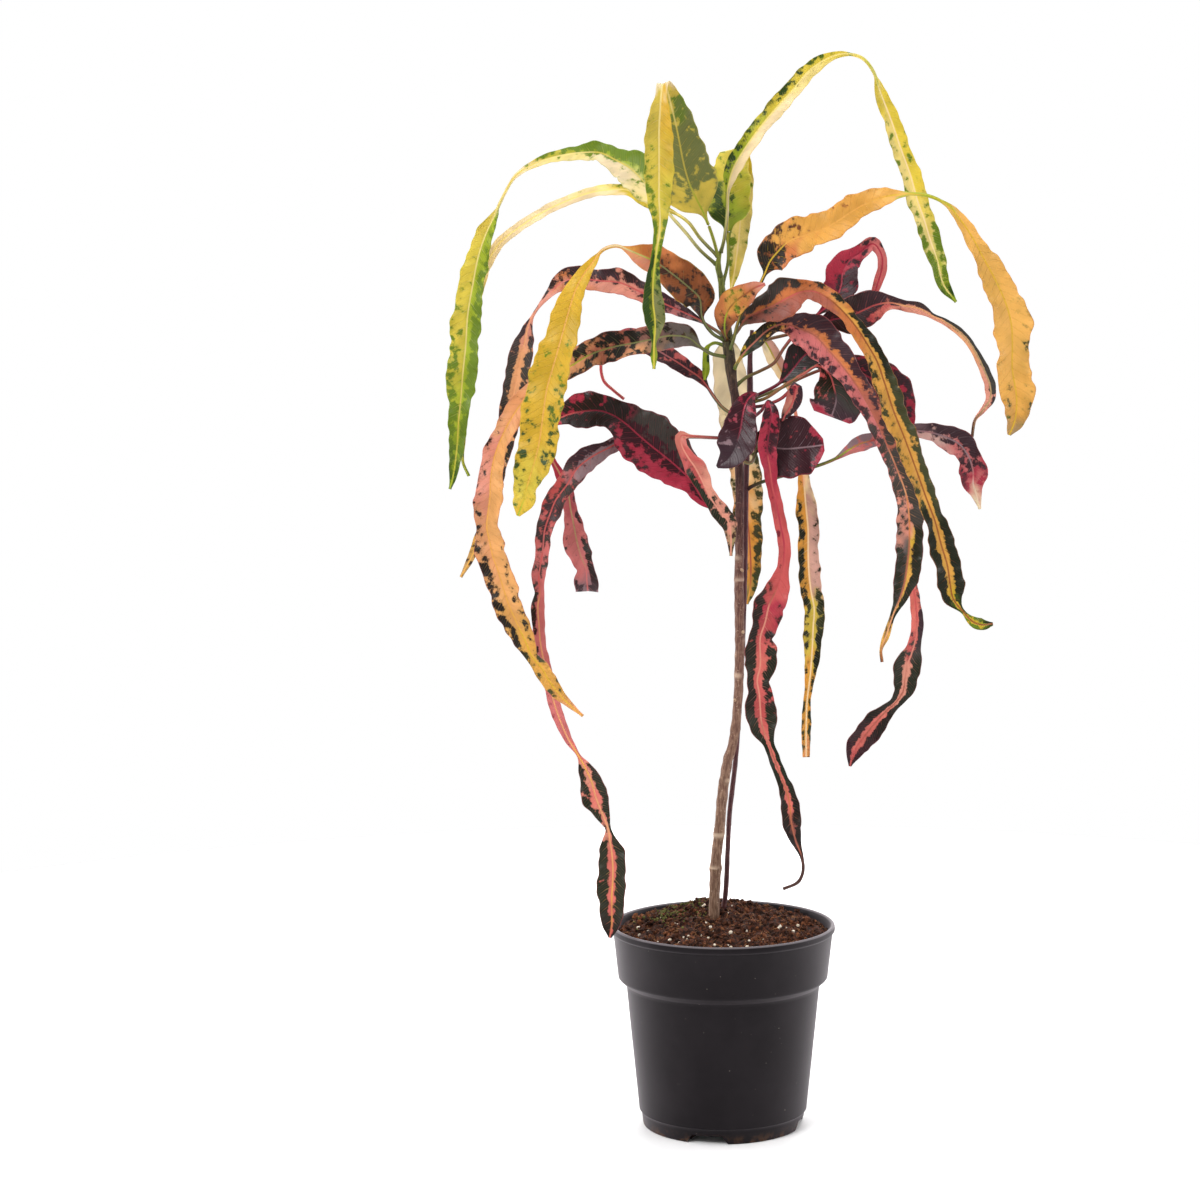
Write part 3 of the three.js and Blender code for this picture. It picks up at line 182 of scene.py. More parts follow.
# A station is (column, row, depth, width in mm that shows, roll if it isn't the leaf's own).
# Swing is the depth in mm that a leaf gains towards its tip. Roll and fold are in degrees, the height of
# the edges' wave and its length in mm.
LEAVES = {
    "leaf_left_arch": dict(
        stem="trunk", swing=30, roll=22, fold=14, wave=2.2, length=44,
        stations=[
            (713, 264, -1, 0), (700, 250, 2, 0), (686, 233, 8, 0), (671, 216, 13, 0), (662, 205, 17, 9),
            (648, 187, 25, 31), (632, 170, 32, 27), (615, 160, 39, 18), (600, 153, 47, 15),
            (580, 153, 53, 11), (560, 156, 60, 9), (545, 160, 65, 7), (530, 166, 68, 5),
            (515, 177, 72, 3), (500, 203, 76, 0), (494, 217, 77, 7), (487, 232, 78, 13),
            (479, 255, 80, 17), (473, 285, 82, 20), (468, 315, 83, 22), (466, 345, 84, 23),
            (463, 375, 85, 23), (461, 400, 85, 20), (459, 420, 85, 14), (457, 450, 85, 12),
            (453, 478, 85, 5), (450, 489, 85, 1.5),
        ],
    ),
    "leaf_left_arch_back": dict(
        stem="trunk", swing=30, roll=22, fold=10, wave=1, length=40,
        stations=[
            (713, 256, 2, 0), (700, 238, 8, 0), (688, 222, 16, 0), (668, 210, 30, 4), (648, 204, 40, 7),
            (630, 191, 50, 8.5), (610, 190, 57, 8.5), (590, 193, 63, 7.5), (560, 204, 73, 7.5),
            (540, 214, 79, 7.5), (520, 227, 84, 7.5), (500, 243, 88, 7.5), (488, 262, 91, 9),
            (478, 290, 92, 9), (468, 340, 92.5, 9), (464, 400, 92.5, 7.5), (463, 440, 92, 4),
            (463, 462, 91, 2), (469, 476, 90, 1.5),
        ],
    ),
    "leaf_crown_fold": dict(
        stem="trunk", swing=-20, roll=0, fold=16, wave=1.6, length=44,
        stations=[
            (720, 277, -5, 0), (719, 262, -6.5, 0), (713, 238, -8, 0), (704, 214, -9, 4, 180),
            (697, 200, -10, 36, 180), (690, 185, -13, 42, 180), (684, 165, -17, 38, 180),
            (680, 145, -21, 33, 180), (676, 125, -25, 27, 180), (671, 105, -29, 21, 180),
            (667, 90, -34, 12, 180), (663, 84, -40, 9, None), (661, 96, -46, 8, 0),
            (660, 110, -47, 14, 0), (659, 130, -48, 19, 0), (659, 150, -48, 21, 0),
            (659, 175, -48, 21, 0), (659, 200, -48, 17, 0), (660, 222, -48, 11, 0), (658, 242, -48, 7, 0),
            (655, 262, -48, 7, 0), (653, 283, -48, 11, 0), (653, 302, -48, 15, 0),
            (655, 320, -49, 15.5, 0), (655, 332, -49, 9, 0), (654, 344, -49, 2.6, 0),
            (654, 355, -49, 5.5, 0), (654, 369, -49, 1.5, 0),
        ],
    ),
    "leaf_right_arch": dict(
        stem="trunk", swing=45, roll=-22, fold=12, wave=1.6, length=44,
        stations=[
            (720, 254, -2, 0), (724, 240, -4, 0), (727, 215, -5, 0), (728, 190, -5, 3),
            (733, 170, -5, 13.5), (743, 152, -5, 12), (760, 128, -4, 13), (775, 110, -3, 13),
            (793, 90, -1, 13), (808, 72, 1, 11.5), (825, 60, 3, 8), (843, 54, 4, 4), (862, 58, 5, 0),
            (873, 71, 5, 0), (880, 92, 6, 9), (890, 118, 7, 12), (901, 150, 8, 13.5), (910, 175, 9, 14.5),
            (917, 200, 10, 15.5), (924, 220, 11, 15), (930, 240, 11, 14.5), (937, 260, 12, 13),
            (943, 284, 12, 9.5), (956, 302, 12, 1.5),
        ],
    ),
    "leaf_crown": dict(
        stem="trunk", swing=12, roll=0, fold=18, wave=1.6, length=36,
        stations=[
            (728, 285, 5, 0), (728, 262, 10, 0), (728, 240, 14, 3), (728, 225, 16, 8, 180),
            (728, 212, 18, 30, 180), (729, 190, 21, 33, 180), (732, 165, 25, 27, 180),
            (735, 149, 31, 20, None), (740, 162, 37, 17, 0), (742, 185, 39, 17, 0), (741, 215, 40, 16, 0),
            (738, 245, 40, 13.5, 0), (735, 268, 39, 9, 0), (731, 290, 38, 1.5, 0),
        ],
    ),
    "leaf_right_amber": dict(
        stem="trunk", swing=-32, roll=-22, fold=14, wave=2.4, length=42,
        stations=[
            (731, 350, -5, 0), (734, 338, -8, 0), (737, 326, -11, 0), (742, 312, -14, 0),
            (757, 290, -20, 0), (765, 274, -24, 2), (770, 262, -27, 18), (778, 252, -31, 27),
            (790, 241, -36, 27), (810, 234, -42, 24), (830, 226, -49, 22), (850, 213, -54, 19),
            (870, 202, -60, 17), (885, 197, -64, 13), (897, 195, -67, 6), (925, 195, -71, 0),
            (946, 204, -74, 3), (958, 217, -77, 7), (970, 234, -79, 10), (982, 256, -80, 14),
            (995, 280, -82, 19.5), (1006, 305, -84, 23), (1011, 325, -85, 26), (1012, 345, -85, 23),
            (1012, 370, -85, 22.5), (1016, 395, -85, 23.5), (1016, 410, -85, 20), (1014, 422, -85, 13),
            (1009, 435, -85, 2),
        ],
    ),
    "leaf_left_yellow": dict(
        stem="trunk", swing=-28, roll=20, fold=15, wave=2.2, length=46,
        stations=[
            (722, 342, -6, 0), (712, 333, -9, 0), (702, 318, -12, 2), (699, 298, -14, 25),
            (688, 287, -16, 26), (672, 274, -19, 26), (655, 262, -22, 23), (642, 256, -24, 17),
            (630, 251, -25, 7), (616, 246, -27, 0), (603, 250, -28, 0), (594, 261, -30, 6),
            (583, 276, -32, 10.5), (575, 292, -34, 16), (568, 315, -36, 20), (561, 340, -39, 23.5),
            (554, 365, -42, 26.5), (547, 390, -44, 28), (543, 418, -47, 28.5), (539, 445, -49, 27.5),
            (533, 468, -50, 25.5), (528, 484, -51, 18), (524, 500, -52, 17), (518, 516, -52, 2),
        ],
    ),
    "leaf_left_salmon": dict(
        stem="trunk", swing=-18, roll=20, fold=14, wave=2, length=44,
        stations=[
            (727, 358, -5, 0), (712, 354, -7, 0), (700, 347, -8, 2), (688, 338, -9, 16),
            (670, 336, -10, 19), (650, 340, -12, 19.5), (630, 344, -13, 20), (610, 348, -15, 21),
            (590, 355, -16, 20), (573, 365, -17, 19.5), (550, 378, -19, 16), (530, 393, -21, 12),
            (517, 410, -22, 15), (508, 425, -23, 15), (500, 442, -24, 15), (494, 460, -25, 16.5),
            (491, 480, -27, 18), (490, 500, -29, 21), (488, 515, -30, 19), (487, 527, -31, 15),
            (490, 542, -32, 22), (493, 556, -34, 20.5), (498, 570, -36, 22), (503, 586, -38, 21),
            (508, 602, -40, 19.5), (518, 625, -42, 19.5), (526, 642, -43, 15), (532, 656, -44, 8),
            (542, 668, -45, 12), (549, 680, -46, 12.5), (557, 691, -47, 9), (566, 701, -48, 5.5),
            (583, 716, -49, 1.5),
        ],
    ),
    "leaf_left_rose": dict(
        stem="trunk", swing=50, roll=20, fold=12, wave=1.4, length=40,
        stations=[
            (726, 336, 2, 0), (712, 328, 5, 0), (697, 319, 7, 4), (680, 311, 8, 10), (660, 302, 8, 13.5),
            (640, 292, 8, 15), (620, 283, 7, 19.5), (600, 281, 6, 15.5), (580, 279, 5, 18),
            (565, 281, 4, 16), (552, 291, 2, 7), (534, 314, 0, 1.5), (528, 328, -1, 7.5),
            (525, 342, -1, 15), (521, 360, -2, 18), (517, 380, -2, 18), (513, 400, -3, 16.5),
            (508, 430, -4, 15), (500, 465, -5, 12), (492, 500, -6, 10.5), (484, 525, -7, 7.5),
            (472, 556, -8, 6), (461, 577, -8, 1.5),
        ],
    ),
    "leaf_left_long": dict(
        stem="second", swing=0, roll=18, fold=13, wave=1.8, length=38,
        stations=[
            (748, 438, 15, 0), (720, 438, 17, 0), (690, 437, 17, 0), (660, 439, 16, 0), (635, 440, 13, 2),
            (622, 442, 11, 9), (607, 449, 8, 12), (592, 457, 6, 16.5), (577, 469, 2, 18),
            (567, 485, -1, 15), (556, 500, -4, 15), (551, 512, -5, 15), (545, 530, -7, 12),
            (543, 550, -8, 10.5), (539, 578, -11, 10), (540, 592, -13, 7), (538, 607, -14, 10),
            (539, 622, -16, 9.5), (541, 645, -19, 8.5), (548, 678, -25, 8.5), (555, 705, -30, 8.5),
            (561, 722, -33, 8), (569, 740, -36, 6), (579, 756, -40, 2), (586, 769, -42, 12),
            (592, 782, -44, 17), (596, 797, -46, 19), (601, 810, -48, 14), (606, 822, -50, 7),
            (608.5, 829, -51, 3.5), (610, 840, -52, 11.5), (612, 852, -54, 18), (613, 865, -56, 20.5),
            (613, 880, -58, 21), (612, 897, -60, 19.5), (612, 910, -62, 18), (612, 924, -64, 14),
            (610, 938, -66, 2),
        ],
    ),
    "leaf_left_dark": dict(
        stem="trunk", swing=40, roll=15, fold=16, wave=1.8, length=38,
        stations=[
            (734, 521, 0, 0), (722, 514, 0, 0), (712, 508, 0, 2), (703, 500, 0, 10.5), (690, 480, -1, 23),
            (678, 468, -1, 33), (665, 457, -2, 40), (651, 446, -3, 43), (638, 435, -4, 40),
            (627, 425, -5, 33), (614, 416, -5, 22), (600, 411, -6, 24), (588, 411, -7, 28),
            (575, 413, -8, 24), (565, 416, -9, 15), (554, 422, -11, 7.5), (548, 440, -12, 4),
            (553, 460, -13, 4), (560, 474, -14, 7.5), (568, 491, -15, 9), (571, 510, -15, 10.5),
            (574, 525, -15, 14), (577, 541, -16, 19), (581, 556, -16, 18), (586, 568, -16, 12),
            (587, 580, -16, 18), (588, 591, -16, 18),
        ],
    ),
    "leaf_left_small": dict(
        stem="trunk", swing=-18, roll=10, fold=14, wave=1.2, length=34,
        stations=[
            (733, 440, -5, 0), (720, 438, -7, 0), (703, 437, -8, 0), (688, 436, -9, 3),
            (681, 436, -10, 8), (682, 446, -11, 8), (688, 457, -12, 10), (695, 467, -13, 16),
            (702, 480, -14, 13.5), (707, 491, -14, 10.5), (714, 503, -14, 11.5), (722, 513, -14, 13),
            (729, 523, -14, 12.5), (731, 536, -14, 7.5), (731, 556, -14, 1.5),
        ],
    ),
    "leaf_left_curl": dict(
        stem="trunk", swing=30, roll=20, fold=12, wave=1.2, length=36,
        stations=[
            (731, 416, 2, 0), (722, 407, 4, 0), (714, 397, 6, 0), (708, 388, 7, 2), (700, 378, 8, 8.5),
            (690, 371, 8, 10.5), (675, 361, 8, 13), (660, 352, 8, 15), (645, 342, 8, 15),
            (630, 335, 8, 10.5), (618, 337, 8, 6), (606, 350, 7, 2), (601, 366, 6, 1.6),
            (604, 381, 5, 1.6), (613, 390, 4, 1.6), (624, 399, 4, 1.4),
        ],
    ),
    "leaf_right_orange": dict(
        stem="trunk", swing=-30, roll=-20, fold=13, wave=2.4, length=38,
        stations=[
            (730, 340, -5, 0), (739, 329, -9, 0), (746, 319, -12, 9), (757, 313, -14, 16),
            (775, 305, -17, 26), (788, 298, -19, 28), (802, 292, -21, 18), (815, 292, -23, 15),
            (830, 300, -25, 13), (845, 314, -27, 11.5), (858, 330, -28, 12), (868, 346, -29, 13),
            (877, 362, -30, 15), (884, 382, -31, 16.5), (893, 410, -32, 18), (905, 440, -33, 17),
            (916, 470, -34, 15.5), (926, 498, -35, 13.5), (935, 522, -36, 15), (941, 545, -36, 18),
            (947, 565, -37, 19.5), (950, 585, -37, 19), (953, 599, -37, 13), (964, 613, -38, 2.5),
            (973, 622, -38, 8), (982, 625, -38, 8), (993, 624, -38, 1.5),
        ],
    ),
    "leaf_right_spotted": dict(
        stem="trunk", swing=-6, roll=-16, fold=14, wave=2, length=42,
        stations=[
            (733, 370, -4, 0), (738, 362, -5, 0), (745, 352, -6, 6), (755, 342, -7, 11),
            (767, 331, -8, 11), (779, 325, -9, 10.5), (789, 325, -10, 14), (800, 329, -10, 24),
            (815, 336, -11, 30), (828, 350, -12, 26), (842, 366, -13, 21), (856, 385, -14, 18),
            (868, 405, -15, 16.5), (878, 425, -16, 15), (888, 448, -17, 14), (897, 470, -17, 15),
            (906, 495, -18, 16.5), (909, 520, -19, 19.5), (909, 545, -19, 20), (907, 565, -20, 19.5),
            (904, 584, -20, 16), (899, 600, -20, 10), (892, 617, -20, 3.5), (886, 636, -20, 5),
            (881, 650, -20, 2), (882, 662, -20, 1.4),
        ],
    ),
    "leaf_right_crimson": dict(
        stem="trunk", swing=40, roll=-15, fold=12, wave=1.2, length=30,
        stations=[
            (736, 386, 1, 0), (747, 377, 3, 0), (760, 371, 5, 0), (774, 363, 11, 0), (784, 348, 19, 0),
            (797, 332, 25, 0), (818, 314, 27, 2), (834, 301, 28, 15), (841, 287, 29, 25),
            (843, 272, 29, 24), (850, 260, 30, 18), (861, 252, 31, 11), (873, 244, 31, 10),
            (881, 254, 30, 7), (882, 266, 29, 7.5), (878, 282, 29, 7), (874, 294, 29, 5),
            (871, 303, 29, 2),
        ],
    ),
    "leaf_right_far": dict(
        stem="second", swing=32, roll=-15, fold=10, wave=1.4, length=34,
        stations=[
            (752, 345, 12, 0), (765, 340, 14, 0), (790, 334, 15, 0), (812, 328, 14, 2),
            (832, 320, 13, 15), (848, 317, 12, 26), (862, 311, 11, 28), (876, 305, 10, 21),
            (890, 303, 9, 11), (905, 306, 8, 8), (920, 309, 8, 9), (932, 316, 8, 4), (945, 322, 8, 5),
            (957, 330, 8, 6), (968, 341, 8, 5.5), (977, 355, 8, 6), (984, 370, 8, 7.5),
            (990, 386, 8, 8.5), (990, 399, 8, 7), (982, 411, 8, 4), (975, 420, 8, 2), (972, 437, 8, 1.4),
        ],
    ),
    "leaf_right_point": dict(
        stem="second", swing=0, roll=-10, fold=10, wave=0.8, length=30,
        stations=[
            (752, 398, 7, 0), (764, 392, 5, 0), (777, 385, 4, 0), (785, 378, 3, 8), (794, 368, 3, 19),
            (803, 357, 2, 24), (812, 350, 2, 21), (824, 343, 2, 6),
        ],
    ),
    "leaf_right_heart": dict(
        stem="second", swing=0, roll=-8, fold=12, wave=1.2, length=34,
        stations=[
            (753, 403, 6, 0), (766, 398, 2, 0), (784, 386, -2, 0), (803, 374, -5, 0), (818, 366, -6, 3),
            (829, 374, -7, 20), (834, 388, -8, 31), (836, 400, -8, 38), (834, 409, -8, 40),
            (831, 417, -8, 27),
        ],
    ),
    "leaf_right_bud": dict(
        stem="second", swing=0, roll=-8, fold=10, wave=0.6, length=30,
        stations=[
            (753, 408, 5, 0), (766, 405, 0, 0), (782, 398, -5, 0), (796, 385, -8, 6), (795, 394, -9, 12),
            (791, 406, -11, 11), (785, 415, -13, 6), (782, 421, -14, 1.5),
        ],
    ),
    "leaf_front_fold": dict(
        stem="second", swing=-6, roll=10, fold=14, wave=1.2, length=34,
        stations=[
            (750, 398, 5, 0), (757, 395, -1, 0), (754, 394, -7, 3), (747, 401, -11, 14),
            (743, 414, -13, 20), (741, 427, -14, 25), (738, 439, -15, 28.5), (734, 450, -15, 27),
            (728, 459, -16, 17), (717, 467, -16, 2),
        ],
    ),
    "leaf_front_dark": dict(
        stem="trunk", swing=-4, roll=-12, fold=14, wave=1.2, length=32,
        stations=[
            (741, 458, -3, 0), (747, 463, -5, 0), (752, 462, -7, 0), (757, 450, -8, 3),
            (764, 446, -9, 26), (774, 448, -9, 40), (787, 449, -8, 46), (799, 448, -8, 45),
            (809, 447, -7, 38), (817, 446, -7, 27), (824, 445, -7, 9),
        ],
    ),
    "leaf_front_long": dict(
        stem="second", swing=-20, roll=-12, fold=15, wave=1.8, length=36,
        stations=[
            (752, 421, 5, 0), (762, 410, -6, 0), (768, 402, -14, 3), (771, 412, -18, 11),
            (769, 430, -20, 15), (767, 450, -21, 13), (770, 470, -22, 11), (772, 486, -23, 8),
            (776, 503, -24, 9), (780, 523, -25, 9), (784, 545, -26, 9), (783, 566, -27, 9),
            (779, 583, -28, 15), (774, 594, -29, 20), (769, 605, -29, 23), (765, 622, -30, 20),
            (760, 638, -31, 17), (760, 652, -32, 24), (760, 666, -32, 24), (757, 681, -33, 15),
            (759, 693, -34, 18), (760, 707, -34, 23), (761, 720, -35, 23), (764, 732, -36, 17),
            (769, 745, -37, 7), (774, 759, -38, 9), (781, 777, -39, 8), (787, 793, -40, 12),
            (790, 808, -40, 14), (791, 821, -41, 14), (795, 839, -41, 8.5), (802, 858, -41, 2.5),
            (803, 871, -41, 1.8), (798, 882, -41, 2.6), (783, 889, -41, 1.4),
        ],
    ),
    "leaf_right_grey": dict(
        stem="second", swing=22, roll=-15, fold=12, wave=1.6, length=36,
        stations=[
            (747, 489, 11, 0), (755, 485, 9, 0), (765, 481, 8, 0), (790, 474, 7, 0), (814, 467, 6, 0),
            (835, 459, 6, 2), (849, 450, 6, 8), (860, 444, 6, 12), (875, 440, 6, 10.5),
            (895, 434, 5, 10.5), (915, 431, 4, 10), (932, 433, 3, 13.5), (947, 438, 3, 19),
            (960, 445, 2, 20), (969, 458, 1, 17), (973, 472, 0, 22), (973, 484, -1, 17),
            (976, 494, -1, 8), (980, 509, -1, 1.5),
        ],
    ),
    "leaf_right_low": dict(
        stem="second", swing=48, roll=-12, fold=12, wave=1.8, length=38,
        stations=[
            (752, 399, 13, 0), (781, 388, 16, 0), (803, 377, 18, 0), (828, 368, 19, 2),
            (845, 367, 19, 16), (865, 375, 19, 30), (885, 390, 18, 36), (899, 410, 17, 27),
            (906, 436, 16, 9), (909, 470, 12, 0), (911, 530, 6, 0), (913, 570, 3, 2), (913, 585, 2, 6),
            (915, 600, 1, 7.5), (917, 622, 0, 9.5), (915, 641, -1, 9), (912, 652, -1, 14),
            (908, 663, -2, 22), (905, 678, -2, 18), (903, 691, -3, 14.5), (896, 702, -3, 9),
            (886, 711, -3, 12), (875, 723, -4, 18), (866, 734, -4, 19), (857, 746, -4, 17),
            (852, 757, -4, 8.5), (850, 766, -4, 2),
        ],
    ),
    "leaf_middle_cream": dict(
        stem="second", swing=34, roll=-14, fold=12, wave=1.6, length=36,
        stations=[
            (752, 336, 12, 0), (760, 336, 17, 2), (767, 345, 22, 9.5), (774, 358, 26, 12),
            (782, 373, 27, 10), (789, 387, 26, 4), (795, 410, 25, 2.4), (799, 440, 22, 4.5),
            (802, 462, 18, 6), (804, 486, 16, 10), (806, 508, 14, 16), (808, 530, 12, 15.5),
            (808, 555, 11, 15.5), (809, 575, 9, 16.5), (811, 592, 8, 16), (814, 608, 7, 15.5),
            (813, 628, 6, 15), (812, 650, 5, 13), (810, 676, 4, 8), (807, 700, 4, 5.5),
            (806, 728, 3, 7.5), (806, 757, 3, 5),
        ],
    ),
    "leaf_back_cream": dict(
        stem="trunk", swing=18, roll=8, fold=12, wave=1.4, length=40,
        stations=[
            (728, 330, 4, 0), (728, 337, 12, 0), (728, 348, 20, 19), (730, 375, 24, 25),
            (735, 410, 26, 25), (742, 450, 26, 24), (748, 490, 27, 23), (748, 520, 27, 21.5),
            (750, 545, 28, 19), (751, 572, 28, 14.5), (750, 590, 28, 9), (747, 604, 28, 1.5),
        ],
    ),
    "leaf_side_green": dict(
        stem="trunk", swing=0, roll=10, fold=8, wave=0.4, length=30,
        stations=[
            (724, 346, 4, 0), (714, 343, 8, 0), (707, 348, 10, 4), (706, 359, 11, 5), (706, 370, 11, 6),
            (705, 380, 11, 1.5),
        ],
    ),
    "leaf_front_amber": dict(
        stem="trunk", swing=-6, roll=-10, fold=14, wave=0.8, length=30,
        stations=[
            (727, 340, -6, 0), (725, 334, -10, 3), (725, 321, -14, 14), (728, 311, -17, 19),
            (736, 301, -21, 20), (746, 294, -24, 16), (755, 288, -26, 10), (765, 284, -27, 1.5),
        ],
    ),
}

